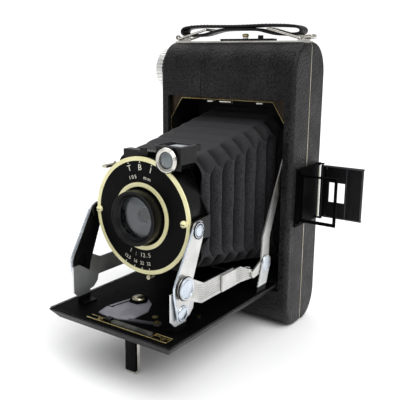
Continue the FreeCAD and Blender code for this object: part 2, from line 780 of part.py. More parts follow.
def standard_plate():
    y0 = standard_y
    y1 = y0 + standard_thick
    half = ear_x + ear_thick
    ear_z = pivot_ear[1]
    right = [(16.0, 46.0), (22.0, 55.0), (half, ear_z - 5.6), (half, ear_z + 5.0), (23.0, 90.0), (18.0, 103.0)]
    outline = right + [(-x, z) for x, z in reversed(right)]
    plate = front_plate(outline, y0, y1).cut(rod_y(y0 - 1, y1 + 1, 0, lens_z, plate_hole))
    ear = fuse(side_plate([(pivot_ear[0], ear_z - 4.4), (y0, ear_z - 5.6), (y0, ear_z + 5.0),
                           (pivot_ear[0], ear_z + 4.4)], ear_x, half),
               rod_x(ear_x, half, pivot_ear[0], ear_z, 4.4))
    face = arm_x + ear_thick
    pin = rod_x(half, face + 0.1, pivot_ear[0], ear_z, pin_radius)
    cap = rod_x(face + 0.05, face + 0.35, pivot_ear[0], ear_z, 4.0)
    right_ear = fuse(ear, pin, cap)
    tab = fuse(rod_y(y0, y1, finder_pivot_x, finder_low, 2.6), box(12.0, 19.0, y0, y1, 90.0, 101.0))
    finder_pin = rod_y(y0 - 1.6, y0, finder_pivot_x, finder_low, 0.8)
    return fuse(plate, right_ear, mirrored(right_ear), tab, finder_pin)


def shutter_case():
    case = rod_y(case_front_y, standard_y, 0, lens_z, shutter_body_radius)
    hump = box(-16.5, 4.0, standard_y - 5.0, standard_y, lens_z, 104.4)
    case = fuse(case, hump)
    well = rod_y(case_front_y - 1, case_front_y + well_depth, 0, lens_z, well_radius)
    throat = rod_y(case_front_y - 1, standard_y + 1, 0, lens_z, 8.6)
    blade_room = rod_y(standard_y - 3.4, standard_y - 1.2, 0, lens_z, 20.0)
    slot = blade_slot()
    return cut(case, well, throat, blade_room, slot)


def blade_slot():
    """Clearance at the left for the release lever's root."""
    return box(-40, -10, standard_y - 3.4, standard_y - 1.4, lens_z + 8, lens_z + 26)


def shutter_face():
    plate = rod_y(face_y, case_front_y, 0, lens_z, shutter_radius - rim_width)
    return plate.cut(rod_y(face_y - 1, case_front_y + 1, 0, lens_z, well_radius + well_ring))


def shutter_rim():
    outer_ring = rod_y(shutter_front_y, case_front_y, 0, lens_z, shutter_radius)
    outer_ring = outer_ring.cut(rod_y(shutter_front_y - 1, case_front_y + 1, 0, lens_z, shutter_radius - rim_width))
    inner_ring = rod_y(shutter_front_y - 0.3, case_front_y, 0, lens_z, well_radius + well_ring)
    lining = rod_y(case_front_y - 0.01, case_front_y + well_depth - 0.5, 0, lens_z, well_radius)
    inner_ring = inner_ring.fuse(lining)
    inner_ring = inner_ring.cut(rod_y(shutter_front_y - 2, case_front_y + well_depth, 0, lens_z, well_radius - 0.6))
    return Part.makeCompound([outer_ring, inner_ring] + rim_screws())


def rim_screws():
    spots = [(math.radians(a), shutter_radius - 1.9) for a in (1.0, 180.0)]
    heads = []
    for angle, radius in spots:
        x = radius * math.cos(angle)
        z = lens_z + radius * math.sin(angle)
        heads.append(rod_y(shutter_front_y - 0.7, shutter_front_y, x, z, 1.3))
    return heads


def rear_lens():
    y0 = standard_y - 1.2
    cell = rod_y(y0, standard_y + 5.0, 0, lens_z, 8.5)
    return cell.cut(rod_y(y0 - 1, standard_y + 6, 0, lens_z, 7.2))


def rear_glass():
    return rod_y(standard_y + 1.5, standard_y + 3.5, 0, lens_z, 7.2)


def lens_barrel():
    """The focusing mount of the front lens, turned on the shutter's throat."""
    y1 = case_front_y + well_depth - 0.4
    outer_form = rod_y(lens_front_y, y1, 0, lens_z, lens_radius)
    cone = Part.makeCone(lens_radius - 1.0, glass_radius, 2.4, Vector(0, lens_front_y, lens_z), Vector(0, 1, 0))
    bore = rod_y(lens_front_y, y1 + 1, 0, lens_z, glass_radius)
    tail = rod_y(y1 - 0.01, y1 + 2.4, 0, lens_z, 8.5)
    shape = cut(outer_form, cone, bore)
    ring = tail.cut(rod_y(y1 - 1, y1 + 4, 0, lens_z, 7.4))
    back_wall = rod_y(y1 - 1.0, y1, 0, lens_z, glass_radius + 0.5).cut(rod_y(y1 - 2, y1 + 1, 0, lens_z, 7.4))
    return fuse(shape, back_wall, ring)


def front_glass():
    """The front element, with its domed face."""
    y0 = lens_front_y + 2.6
    sag = 1.2
    radius = (glass_radius ** 2 + sag ** 2) / (2 * sag)
    ball = Part.makeSphere(radius, Vector(0, y0 + radius, lens_z))
    return ball.common(rod_y(y0, y0 + 3.0, 0, lens_z, glass_radius))


def aperture_disc():
    """The turning stop plate inside the shutter, with its pointer below the dial."""
    y0 = standard_y - 2.1
    disc = rod_y(y0, y0 + 0.3, 0, lens_z, 19.0).cut(rod_y(y0 - 1, y0 + 1, 0, lens_z, 5.0))
    return disc


def aperture_lever():
    y0 = case_front_y + 1.2
    ring = rod_y(y0, y0 + 0.8, 0, lens_z, shutter_body_radius + 1.1)
    ring = ring.cut(rod_y(y0 - 1, y0 + 2, 0, lens_z, shutter_body_radius + 0.1))
    sector = front_plate([(0, lens_z), (-7, lens_z - 40), (16, lens_z - 40)], y0 - 1, y0 + 2)
    ring = ring.common(sector)
    knob = rod_y(shutter_front_y - 1.0, y0 + 0.8, 4.6, lens_z - shutter_radius - 0.9, 1.1)
    knob = knob.cut(rod_y(shutter_front_y - 2, y0 + 2, 0, lens_z, shutter_radius + 0.1))
    return Part.makeCompound([fuse(ring, knob), aperture_disc()])


def mode_lever():
    """The selector for timed, bulb and instant exposures."""
    y0 = case_front_y + 2.6
    ring = rod_y(y0, y0 + 0.8, 0, lens_z, shutter_body_radius + 2.6)
    ring = ring.cut(rod_y(y0 - 1, y0 + 2, 0, lens_z, shutter_body_radius + 0.1))
    sector = front_plate([(0, lens_z), (-5.6, lens_z + 40), (2.0, lens_z + 40)], y0 - 1, y0 + 2)
    tip = box(-3.2, 0.4, y0, y0 + 0.8, lens_z + shutter_body_radius + 2.0, lens_z + shutter_body_radius + 4.4)
    return fuse(ring.common(sector), tip)


def release_lever():
    """The bent release at the left, turning about the lens axis inside the case."""
    y0 = standard_y - 3.25
    arm = fuse(front_plate([(-14.0, lens_z + 11.0), (-26.0, lens_z + 20.4), (-24.6, lens_z + 23.0),
                            (-12.6, lens_z + 13.6)], y0, y0 + 1.0))
    finger = box(-26.6, -23.6, y0 - 6.6, y0 + 1.0, lens_z + 20.4, lens_z + 21.6)
    ring = rod_y(y0, y0 + 1.0, 0, lens_z, 19.4).cut(rod_y(y0 - 1, y0 + 2, 0, lens_z, 17.0))
    sector = front_plate([(0, lens_z), (-40, lens_z + 16), (-22, lens_z + 40)], y0 - 1, y0 + 2)
    return fuse(arm, finger, ring.common(sector))


def blade():
    """The shutter's leaf behind the lens, hidden in the case."""
    return rod_y(standard_y - 1.6, standard_y - 1.3, 0, lens_z, 9.5)


# Reflecting finder

def finder_saddle(x, z):
    """The room that the round shutter needs, about one of its two relative places."""
    return rod_y(case_front_y - 1, standard_y + 1, x, z, shutter_radius + 0.6)


def reflex_finder():
    y0 = finder_front_y
    y1 = standard_y - 0.25
    body = box(finder_left, finder_right, y0 + 0.8, y1, finder_low, finder_high)
    visor = box(finder_left, finder_right, y1, y1 + 3.2, finder_high - 3.0, finder_high)
    body = fuse(body, visor)
    across = -finder_pivot_x
    down = lens_z - finder_low
    body = body.cut(finder_saddle(0, lens_z))
    body = body.cut(finder_saddle(finder_pivot_x - down, finder_low + across))
    middle = (finder_left + finder_right) / 2
    hollow = box(finder_left + 1.2, finder_right - 1.2, y0 + 2.4, y1 + 1.6, finder_high - 2.4, finder_high - 0.6)
    well = box(finder_left + 2.0, finder_right - 2.0, y0 + 4.0, y1 + 1.0, finder_high - 0.7, finder_high + 1)
    lens_z_here = finder_high - 5.2
    ring = rod_y(y0, y0 + 1.2, middle, lens_z_here, finder_lens_radius + 0.9)
    ring = ring.cut(finder_saddle(0, lens_z))
    tunnel = rod_y(y0 - 1, y0 + 3.0, middle, lens_z_here, finder_lens_radius)
    lug = rod_y(y1 - 1.2, y1, finder_pivot_x, finder_low, finder_lug_radius)
    shape = cut(fuse(body, ring, lug), hollow, well, tunnel)
    return shape.cut(rod_y(y1 - 3, y1 + 1, finder_pivot_x, finder_low, 0.8 + running))


def finder_glasses():
    y0 = finder_front_y
    middle = (finder_left + finder_right) / 2
    front = rod_y(y0 + 0.6, y0 + 2.2, middle, finder_high - 5.2, finder_lens_radius - 0.05)
    front = front.cut(finder_saddle(0, lens_z))
    top = box(finder_left + 1.25, finder_right - 1.25, y0 + 2.5, standard_y + 1.2, finder_high - 1.5, finder_high - 0.75)
    return Part.makeCompound([front, top])


def bellows():
    """A closed tube that narrows from the film gate to the standard."""
    front_edge = standard_y + standard_thick
    back_edge = gate_y

    def ring(y, half, low, high, corner):
        points = [(-half, low + corner), (-half + corner, low), (half - corner, low), (half, low + corner),
                  (half, high - corner), (half - corner, high), (-half + corner, high), (-half, high - corner)]
        return Part.makePolygon([Vector(x, y, z) for x, z in points + points[:1]])

    wall_thick = 3.0
    outside = Part.makeLoft([ring(front_edge, 26.0, 48.0, 101.6, 6.0), ring(back_edge, 29.3, 31.5, 121.0, 6.0)],
                            True, True)
    inside = Part.makeLoft([ring(front_edge - 1, 26.0 - wall_thick, 48.0 + wall_thick, 101.6 - wall_thick, 5.0),
                            ring(back_edge + 1, 29.3 - wall_thick, 31.5 + wall_thick, 121.0 - wall_thick, 5.0)],
                           True, True)
    return outside.cut(inside)


# Winder

def winding_knob():
    x1 = -width / 2 - 0.3
    x0 = x1 - knob_thick
    disc = rod_x(x0, x1, knob_y, knob_z, knob_radius)
    rims = [e for e in disc.Edges if e.BoundBox.XMax < x0 + 0.01]
    disc = disc.makeFillet(1.6, rims)
    for i in range(knurls):
        angle = 2 * math.pi * i / knurls
        y = knob_y + (knob_radius + 0.25) * math.cos(angle)
        z = knob_z + (knob_radius + 0.25) * math.sin(angle)
        disc = disc.cut(rod_x(x0 - 1, x1 + 1, y, z, 0.6))
    shaft = rod_x(x1 - 0.1, -spool_half - 0.8, knob_y, knob_z, shaft_radius)
    key = box(-spool_half - 0.9, -spool_half + 2.0, knob_y - 0.6, knob_y + 0.6, knob_z - 1.8, knob_z + 1.8)
    return fuse(disc, shaft, key)


def take_up_spool():
    core = rod_x(-spool_half, spool_half, knob_y, knob_z, 3.4)
    ends = [rod_x(-spool_half, -spool_half + 0.8, knob_y, knob_z, spool_radius),
            rod_x(spool_half - 0.8, spool_half, knob_y, knob_z, spool_radius)]
    spool = fuse(core, *ends)
    spool = spool.cut(rod_x(spool_half - 4.0, spool_half + 1, knob_y, knob_z, spool_pin_radius + running))
    key_way = box(-spool_half - 1, -spool_half + 2.1, knob_y - 0.65, knob_y + 0.65, knob_z - 1.85, knob_z + 1.85)
    return spool.cut(key_way)


# Back

def back_cuts(shape):
    shape = shape.cut(box(-big, big, seam_y, seam_y + back_hinge_room, -1, back_hinge_z + 0.3))
    shape = shape.cut(hinge_space)
    return shape.cut(box(-big, big, -big, plate_back_y + 0.3, height - leather - 0.05, big))


def back_shell():
    shell = under_leather.common(back_part).cut(inner)
    return back_cuts(shell).cut(rod_y(0, back_y + 1, 0, window_z, window_radius + running))


def back_leather():
    skin = outer.common(back_part).cut(under_leather)
    return back_cuts(skin).cut(rod_y(0, back_y + 1, 0, window_z, window_radius + 1.0))


def back_hinge_sleeve():
    barrel = rod_x(-knuckle_half + 0.2, knuckle_half - 0.2, seam_y, back_hinge_z, barrel_radius)
    arm = box(-knuckle_half + 0.2, knuckle_half - 0.2, seam_y - back_hinge_room, seam_y, 0, back_hinge_z + 0.6)
    bore = rod_x(-40, 40, seam_y, back_hinge_z, hinge_pin_radius)
    pin = rod_x(-knuckle_end, knuckle_end, seam_y, back_hinge_z, hinge_pin_radius)
    return fuse(fuse(barrel, arm).cut(bore), pin)


def back_hinge_leaves():
    barrel = rod_x(knuckle_half, knuckle_end, seam_y, back_hinge_z, barrel_radius)
    arm = box(knuckle_half, knuckle_end, seam_y, seam_y + back_hinge_room, leather + 0.1, back_hinge_z + 0.6)
    leaf = fuse(barrel, arm).cut(rod_x(-40, 40, seam_y, back_hinge_z, hinge_pin_radius + running))
    return Part.makeCompound([leaf, mirrored(leaf), cover_pin()])


def pressure_plate():
    plate = box(-31.0, 31.0, gate_y + gate_thick + 0.3, gate_y + gate_thick + 1.1, 30.0, 118.0)
    return plate.cut(rod_y(0, back_y, 0, window_z, window_radius + 1.0))


def pressure_spring():
    """Two bowed leaf springs between the back and the pressure plate."""
    y0 = gate_y + gate_thick + 1.1
    y1 = back_y - leather - wall
    leaves = []
    for x in (-20.0, 20.0):
        outline = [(y0, 46.0), (y0 + 0.4, 46.0), (y1, 72.0), (y1, 76.0), (y0 + 0.4, 102.0), (y0, 102.0),
                   (y1 - 0.5, 75.6), (y1 - 0.5, 72.4)]
        leaves.append(side_plate(outline, x - 4.0, x + 4.0))
    return Part.makeCompound(leaves)


def red_window():
    return rod_y(back_y - leather - wall, back_y - leather, 0, window_z, window_radius)


def window_cover():
    y0 = back_y + 0.1
    disc = rod_y(y0, y0 + 0.7, 0, window_z, window_radius + 2.2)
    arm = box(0, cover_pivot_x, y0, y0 + 0.7, window_z - 2.0, window_z + 2.0)
    eye = rod_y(y0, y0 + 0.7, cover_pivot_x, window_z, 3.0)
    grip = box(-1.0, 1.0, y0 + 0.7, y0 + 1.5, window_z - 3.4, window_z + 3.4)
    return fuse(disc, arm, eye, grip).cut(rod_y(y0 - 1, y0 + 2, cover_pivot_x, window_z, 0.9 + running))


def cover_pin():
    y0 = back_y
    post = rod_y(y0, y0 + 0.9, cover_pivot_x, window_z, 0.9)
    return fuse(post, rod_y(y0 + 0.85, y0 + 1.4, cover_pivot_x, window_z, 1.9))


# Latch on the top plate

def latch_bar():
    z0 = height + top_plate_thick + 0.05
    bar = box(-12.0, 21.5, -2.4, 2.2, z0, z0 + 1.2)
    bar = bar.cut(box(nub_fixed_x - 2.0, nub_fixed_x + 5.4, -2.0, 1.2, z0 - 1, z0 + 2))
    return fuse(bar, rod_z(z0, height + 3.6, nub_slide_x, -0.4, 1.5))


for name, shape in (
        ("body_shell", body_shell()), ("body_leather", body_leather()), ("seam_trim", seam_trim()),
        ("opening_frame", opening_frame()), ("chamber_box", chamber_box()),
        ("roller_top", film_roller(roller_high_z)), ("roller_bottom", film_roller(roller_low_z)),
        ("top_plate", top_plate()), ("strap_links", strap_links()),
        ("carry_strap", carry_strap()), ("finder_base", finder_base()),
        ("finder_front_frame", finder_front_frame()), ("finder_rear_frame", finder_rear_frame()),
        ("bed_leather", bed_leather()), ("bed_tray", bed_tray()), ("bed_plate", bed_plate()),
        ("bed_hinge_sleeve", bed_hinge_sleeve()), ("bed_hinge_leaves", bed_hinge_leaves()),
        ("bed_front_fittings", bed_front_fittings()), ("bed_lever", bed_lever()), ("bed_screws", bed_screws()),
        ("bed_catch", bed_catch()), ("bed_brackets", bed_brackets()), ("bed_pivots", bed_pivots()),
        ("tripod_bush", tripod_bush()), ("stand_leg", stand_leg()),
        ("standard_plate", standard_plate()), ("shutter_case", shutter_case()),
        ("shutter_face", shutter_face()), ("shutter_rim", shutter_rim()),
        ("rear_lens_cell", rear_lens()), ("rear_glass", rear_glass()), ("lens_barrel", lens_barrel()),
        ("front_glass", front_glass()), ("aperture_lever", aperture_lever()), ("mode_lever", mode_lever()),
        ("release_lever", release_lever()), ("shutter_blade", blade()), ("reflex_finder", reflex_finder()),
        ("finder_glasses", finder_glasses()), ("bellows", bellows()), ("winding_knob", winding_knob()),
        ("take_up_spool", take_up_spool()), ("back_shell", back_shell()), ("back_leather", back_leather()),
        ("back_hinge_sleeve", back_hinge_sleeve()), ("back_hinge_leaves", back_hinge_leaves()),
        ("pressure_plate", pressure_plate()), ("pressure_spring", pressure_spring()),
        ("red_window", red_window()), ("window_cover", window_cover()), ("latch_bar", latch_bar())):
    save(shape, name)

for name, make in (("front_arm", front_arm), ("front_brace", front_brace),
                   ("rear_brace", rear_brace), ("rear_strut", rear_strut)):
    piece = make()
    save(piece, name + "_right")
    save(mirrored(piece), name + "_left")
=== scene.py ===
"""Finishes and fine detail of a folding roll film camera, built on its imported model.

Lengths in the code are millimetres in the frame of the model: X to the right seen from the front, Y towards
the back and Z up, with the origin on the table under the body.
"""
import math

import bmesh
import bpy
from mathutils import Matrix, Vector


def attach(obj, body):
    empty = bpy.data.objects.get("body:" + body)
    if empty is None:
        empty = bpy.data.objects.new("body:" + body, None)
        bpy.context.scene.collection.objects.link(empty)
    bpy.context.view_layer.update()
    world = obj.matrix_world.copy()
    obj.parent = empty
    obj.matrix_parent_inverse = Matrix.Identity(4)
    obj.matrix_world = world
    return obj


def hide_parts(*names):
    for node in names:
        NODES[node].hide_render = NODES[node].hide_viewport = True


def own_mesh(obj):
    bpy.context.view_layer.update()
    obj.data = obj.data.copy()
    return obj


bl_info = {
    "name": "Folding camera",
    "version": (1, 0, 0),
    "blender": (4, 5, 0),
    "location": "3D View > Sidebar > Folding camera",
    "description": "Finishes and fine detail of a folding roll film camera",
    "category": "Object",
}

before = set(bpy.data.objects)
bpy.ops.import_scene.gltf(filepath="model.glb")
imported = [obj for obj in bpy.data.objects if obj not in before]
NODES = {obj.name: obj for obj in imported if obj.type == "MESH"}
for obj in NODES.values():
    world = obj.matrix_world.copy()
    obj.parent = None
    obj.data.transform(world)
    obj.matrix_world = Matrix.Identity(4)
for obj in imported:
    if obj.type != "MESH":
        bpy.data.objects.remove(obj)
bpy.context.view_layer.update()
MM = 0.001

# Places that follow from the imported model, in millimetres.
SHUTTER_Z = 74.2
FACE_Y = -86.6
BED_TOP = 27.5
BODY_FRONT_Y = -17.45
FINDER_LENS = (16.6, 0, 102.9)
TRIPOD_BUSH = (-6.5, -82.0, 0)

# Pivots of the struts, and the middle lines of the two halves of a brace, as (y, z).
EAR_PIVOT, KNEE_PIVOT, BED_PIVOT = (-84.4, 72.2), (-96.3, 48.5), (-96.5, 36.5)
FRONT_BRACE = [(-93.0, 47.0), (-86.5, 43.4), (-82.0, 42.3), (-57.2, 42.6)]
REAR_BRACE = [(-55.9, 42.5), (-46.0, 41.5), (-42.6, 40.3)]


# ---------------------------------------------------------------- materials

# Kinds of node used again and again, and the sockets of the range node and of the colour mixer.
NOISE, RANGE, MIXER = "ShaderNodeTexNoise", "ShaderNodeMapRange", "ShaderNodeMix"
VALUE, LOW, HIGH, START, STOP = range(5)
SHARE, FIRST, SECOND, MIXED = 0, 6, 7, 2


def linear(colour):
    """An sRGB hex colour as linear RGBA."""
    parts = [int(colour[i:i + 2], 16) / 255 for i in (1, 3, 5)]
    return tuple(c / 12.92 if c <= 0.04045 else ((c + 0.055) / 1.055) ** 2.4 for c in parts) + (1.0,)


def add(tree, kind, sockets=None, **settings):
    """Adds a node. Settings are its properties; sockets are its inputs, each a value or an output to link."""
    made = tree.nodes.new(kind)
    for name, value in settings.items():
        setattr(made, name, value)
    for name, value in (sockets or {}).items():
        if isinstance(value, bpy.types.NodeSocket):
            tree.links.new(value, made.inputs[name])
        else:
            made.inputs[name].default_value = value
    return made


def blank(name):
    """A new material with one shader: returns the material, its node tree and the shader."""
    material = bpy.data.materials.new(name)
    material.use_nodes = True
    tree = material.node_tree
    tree.nodes.clear()
    shader = add(tree, "ShaderNodeBsdfPrincipled")
    add(tree, "ShaderNodeOutputMaterial", {"Surface": shader.outputs[0]})
    return material, tree, shader


def pattern(tree, kind, size, stretch=(1, 1, 1), turn=(0, 0, 0), sockets=None, **settings):
    """A texture on Object coordinates whose features are about `size` millimetres wide."""
    coords = add(tree, "ShaderNodeTexCoord").outputs["Object"]
    placed = add(tree, "ShaderNodeMapping", {"Vector": coords, "Rotation": turn, "Scale": stretch})
    values = {"Vector": placed.outputs[0], "Scale": 1000.0 / size}
    values.update(sockets or {})
    return add(tree, kind, values, **settings)


def set_shader(tree, shader, colour, roughness, bumps, metallic=0.0, coat=0.0, specular=0.5):
    """Links colour and roughness, chains bumps given as (height output, depth in mm), sets the constants."""
    tree.links.new(colour, shader.inputs["Base Color"])
    tree.links.new(roughness, shader.inputs["Roughness"])
    shader.inputs["Metallic"].default_value = metallic
    shader.inputs["Coat Weight"].default_value = coat
    shader.inputs["Coat Roughness"].default_value = 0.12
    shader.inputs["Specular IOR Level"].default_value = specular
    normal = None
    for height, depth in bumps:
        sockets = {"Height": height, "Distance": depth * MM, "Strength": 1.0}
        if normal is not None:
            sockets["Normal"] = normal
        normal = add(tree, "ShaderNodeBump", sockets).outputs[0]
    if normal is not None:
        tree.links.new(normal, shader.inputs["Normal"])


def leather(name, colour, shade, grain, depth, rough):
    """Embossed and stained cowhide: round pebbles, fine creases between them darkened with painted shade, and
    rubbed paler patches.
    """
    material, tree, shader = blank(name)
    warp = pattern(tree, NOISE, grain * 2.6, sockets={"Detail": 1.0}).outputs["Color"]
    coords = add(tree, "ShaderNodeTexCoord").outputs["Object"]
    sway = (0.9 * MM, 0.9 * MM, 0.9 * MM)
    shift = add(tree, "ShaderNodeVectorMath", {0: warp, 1: sway}, operation="MULTIPLY").outputs[0]
    moved = add(tree, "ShaderNodeVectorMath", {0: coords, 1: shift}, operation="ADD").outputs[0]
    cells = {"Vector": moved, "Scale": 1000.0 / grain, "Smoothness": 0.35}
    pebbles = add(tree, "ShaderNodeTexVoronoi", cells, feature="SMOOTH_F1").outputs["Distance"]
    creases = add(tree, RANGE, {VALUE: pebbles, LOW: 0.25, HIGH: 0.75, START: 1.0, STOP: 0.0}).outputs[0]
    fine = pattern(tree, NOISE, 0.35, sockets={"Detail": 3.0}).outputs[0]
    patches = pattern(tree, NOISE, 14.0, sockets={"Detail": 3.0}).outputs[0]
    rubbed = add(tree, RANGE, {VALUE: patches, LOW: 0.42, HIGH: 0.68, STOP: 0.35}).outputs[0]
    # Painted shade: the creases between the pebbles take the darker colour.
    hide = {SHARE: creases, FIRST: linear(shade), SECOND: linear(colour)}
    tone = add(tree, MIXER, hide, data_type="RGBA").outputs[MIXED]
    handled = {SHARE: creases, FIRST: linear(colour), SECOND: linear("#383536")}
    worn = add(tree, MIXER, handled, data_type="RGBA").outputs[MIXED]
    skin = add(tree, MIXER, {SHARE: rubbed, FIRST: tone, SECOND: worn}, data_type="RGBA").outputs[MIXED]
    gloss = {VALUE: patches, LOW: 0.3, HIGH: 0.7, START: rough + 0.08, STOP: rough - 0.05}
    set_shader(tree, shader, skin, add(tree, RANGE, gloss).outputs[0],
               [(creases, depth), (fine, depth * 0.3)], specular=0.2)
    return material


def enamel(name, colour, shade, rough, coat=0.0, speckle=0.02, specular=0.5):
    """Stoved enamel on metal: a smooth film with slight waves, hairline scuffs and dust."""
    material, tree, shader = blank(name)
    waves = pattern(tree, NOISE, 3.5, sockets={"Detail": 2.0}).outputs[0]
    scuffs = pattern(tree, NOISE, 1.2, (1, 1, 0.07), (0.4, 0.7, 0.2), {"Detail": 4.0}).outputs[0]
    patches = pattern(tree, NOISE, 11.0, sockets={"Detail": 4.0}).outputs[0]
    dust = add(tree, RANGE, {VALUE: patches, LOW: 0.35, HIGH: 0.7}).outputs[0]
    film = {SHARE: dust, FIRST: linear(shade), SECOND: linear(colour)}
    gloss = {VALUE: scuffs, LOW: 0.35, HIGH: 0.75, START: rough, STOP: rough + 0.14}
    set_shader(tree, shader, add(tree, MIXER, film, data_type="RGBA").outputs[MIXED],
               add(tree, RANGE, gloss).outputs[0],
               [(waves, speckle), (scuffs, speckle * 0.4)], coat=coat, specular=specular)
    return material


def metal(name, colour, shade, rough, stretch=(1, 1, 1), line=0.5, depth=0.01, mottle=9.0):
    """Nickel or brass: brushed lines along the axis whose stretch is smallest, and dull patches of age."""
    material, tree, shader = blank(name)
    lines = pattern(tree, NOISE, line, stretch, sockets={"Detail": 3.0}).outputs[0]
    patches = pattern(tree, NOISE, mottle, sockets={"Detail": 4.0}).outputs[0]
    age = add(tree, RANGE, {VALUE: patches, LOW: 0.35, HIGH: 0.68}).outputs[0]
    plate = {SHARE: age, FIRST: linear(colour), SECOND: linear(shade)}
    tone = add(tree, MIXER, plate, data_type="RGBA").outputs[MIXED]
    brushed = add(tree, RANGE, {VALUE: lines, LOW: 0.3, HIGH: 0.75, STOP: 0.35}).outputs[0]
    lined = {SHARE: brushed, FIRST: tone, SECOND: linear(shade)}
    gloss = {VALUE: lines, LOW: 0.3, HIGH: 0.7, START: rough - 0.06, STOP: rough + 0.08}
    set_shader(tree, shader, add(tree, MIXER, lined, data_type="RGBA").outputs[MIXED],
               add(tree, RANGE, gloss).outputs[0], [(lines, depth)], metallic=1.0)
    return material


def glass(name, tint, rough, transmission):
    """Polished optical glass with a faint film of age."""
    material, tree, shader = blank(name)
    film = pattern(tree, NOISE, 5.0, sockets={"Detail": 3.0}).outputs[0]
    haze = add(tree, RANGE, {VALUE: film, LOW: 0.3, HIGH: 0.7}).outputs[0]
    body = {SHARE: haze, FIRST: linear(tint), SECOND: linear("#dfe6ea")}
    gloss = {VALUE: film, LOW: 0.4, HIGH: 0.8, START: rough, STOP: rough + 0.05}
    set_shader(tree, shader, add(tree, MIXER, body, data_type="RGBA").outputs[MIXED],
               add(tree, RANGE, gloss).outputs[0], [])
    shader.inputs["Transmission Weight"].default_value = transmission
    shader.inputs["IOR"].default_value = 1.52
    return material


def cloth_folds(name):
    """Rubberised cloth over leather paper: grey and grainy on the crests of the folds, black in the valleys
    as painted shade.
    """
    material, tree, shader = blank(name)
    ridge = add(tree, "ShaderNodeAttribute", attribute_name="ridge").outputs["Fac"]
    side = add(tree, "ShaderNodeAttribute", attribute_name="side").outputs["Fac"]
    grain = pattern(tree, NOISE, 0.9, sockets={"Detail": 4.0, "Roughness": 0.7}).outputs[0]
    patches = pattern(tree, NOISE, 9.0, sockets={"Detail": 3.0}).outputs[0]
    speck = add(tree, RANGE, {VALUE: grain, LOW: 0.38, HIGH: 0.66}).outputs[0]
    # Painted shade: the valleys of the folds go near black, on the sides and on the top; the crests stay grey
    # and speckled.
    crest = add(tree, RANGE, {VALUE: ridge, LOW: 0.35, HIGH: 1.0}).outputs[0]
    speckled_crest = add(tree, "ShaderNodeMath", {0: crest, 1: speck}, operation="MULTIPLY").outputs[0]
    flank = {SHARE: speckled_crest, FIRST: linear("#070708"), SECOND: linear("#37353a")}
    sides = add(tree, MIXER, flank, data_type="RGBA").outputs[MIXED]
    rise = add(tree, RANGE, {VALUE: ridge, LOW: 0.15, HIGH: 0.5}).outputs[0]
    crown = {SHARE: rise, FIRST: linear("#060606"), SECOND: linear("#262528")}
    tops = add(tree, MIXER, crown, data_type="RGBA").outputs[MIXED]
    faded = add(tree, RANGE, {VALUE: patches, LOW: 0.3, HIGH: 0.75, STOP: 0.4}).outputs[0]
    mottle = {SHARE: faded, FIRST: tops, SECOND: linear("#1c1b1d")}
    mottled = add(tree, MIXER, mottle, data_type="RGBA").outputs[MIXED]
    tone = add(tree, MIXER, {SHARE: side, FIRST: mottled, SECOND: sides}, data_type="RGBA").outputs[MIXED]
    gloss = add(tree, RANGE, {VALUE: grain, LOW: 0.3, HIGH: 0.7, START: 0.62, STOP: 0.78}).outputs[0]
    set_shader(tree, shader, tone, gloss, [(grain, 0.09)], specular=0.2)
    shader.inputs["Sheen Weight"].default_value = 0.06
    return material


def two_tone_metal(name):
    """The opening's strips are bronze dark; the tabs behind them are bright nickel."""
    material, tree, shader = blank(name)
    coords = add(tree, "ShaderNodeTexCoord").outputs["Object"]
    depth = add(tree, "ShaderNodeSeparateXYZ", {0: coords}).outputs["Y"]
    behind = add(tree, RANGE, {VALUE: depth, LOW: -13.88 * MM, HIGH: -13.8 * MM}).outputs[0]
    patches = pattern(tree, NOISE, 6.0, sockets={"Detail": 4.0}).outputs[0]
    age = add(tree, RANGE, {VALUE: patches, LOW: 0.3, HIGH: 0.7}).outputs[0]
    strip = {SHARE: age, FIRST: linear("#3a3026"), SECOND: linear("#17130f")}
    bronze = add(tree, MIXER, strip, data_type="RGBA").outputs[MIXED]
    both = {SHARE: behind, FIRST: bronze, SECOND: linear("#f4f0e2")}
    gloss = add(tree, RANGE, {VALUE: patches, LOW: 0.3, HIGH: 0.7, START: 0.32, STOP: 0.45}).outputs[0]
    set_shader(tree, shader, add(tree, MIXER, both, data_type="RGBA").outputs[MIXED], gloss,
               [(patches, 0.02)], metallic=0.85)
    return material


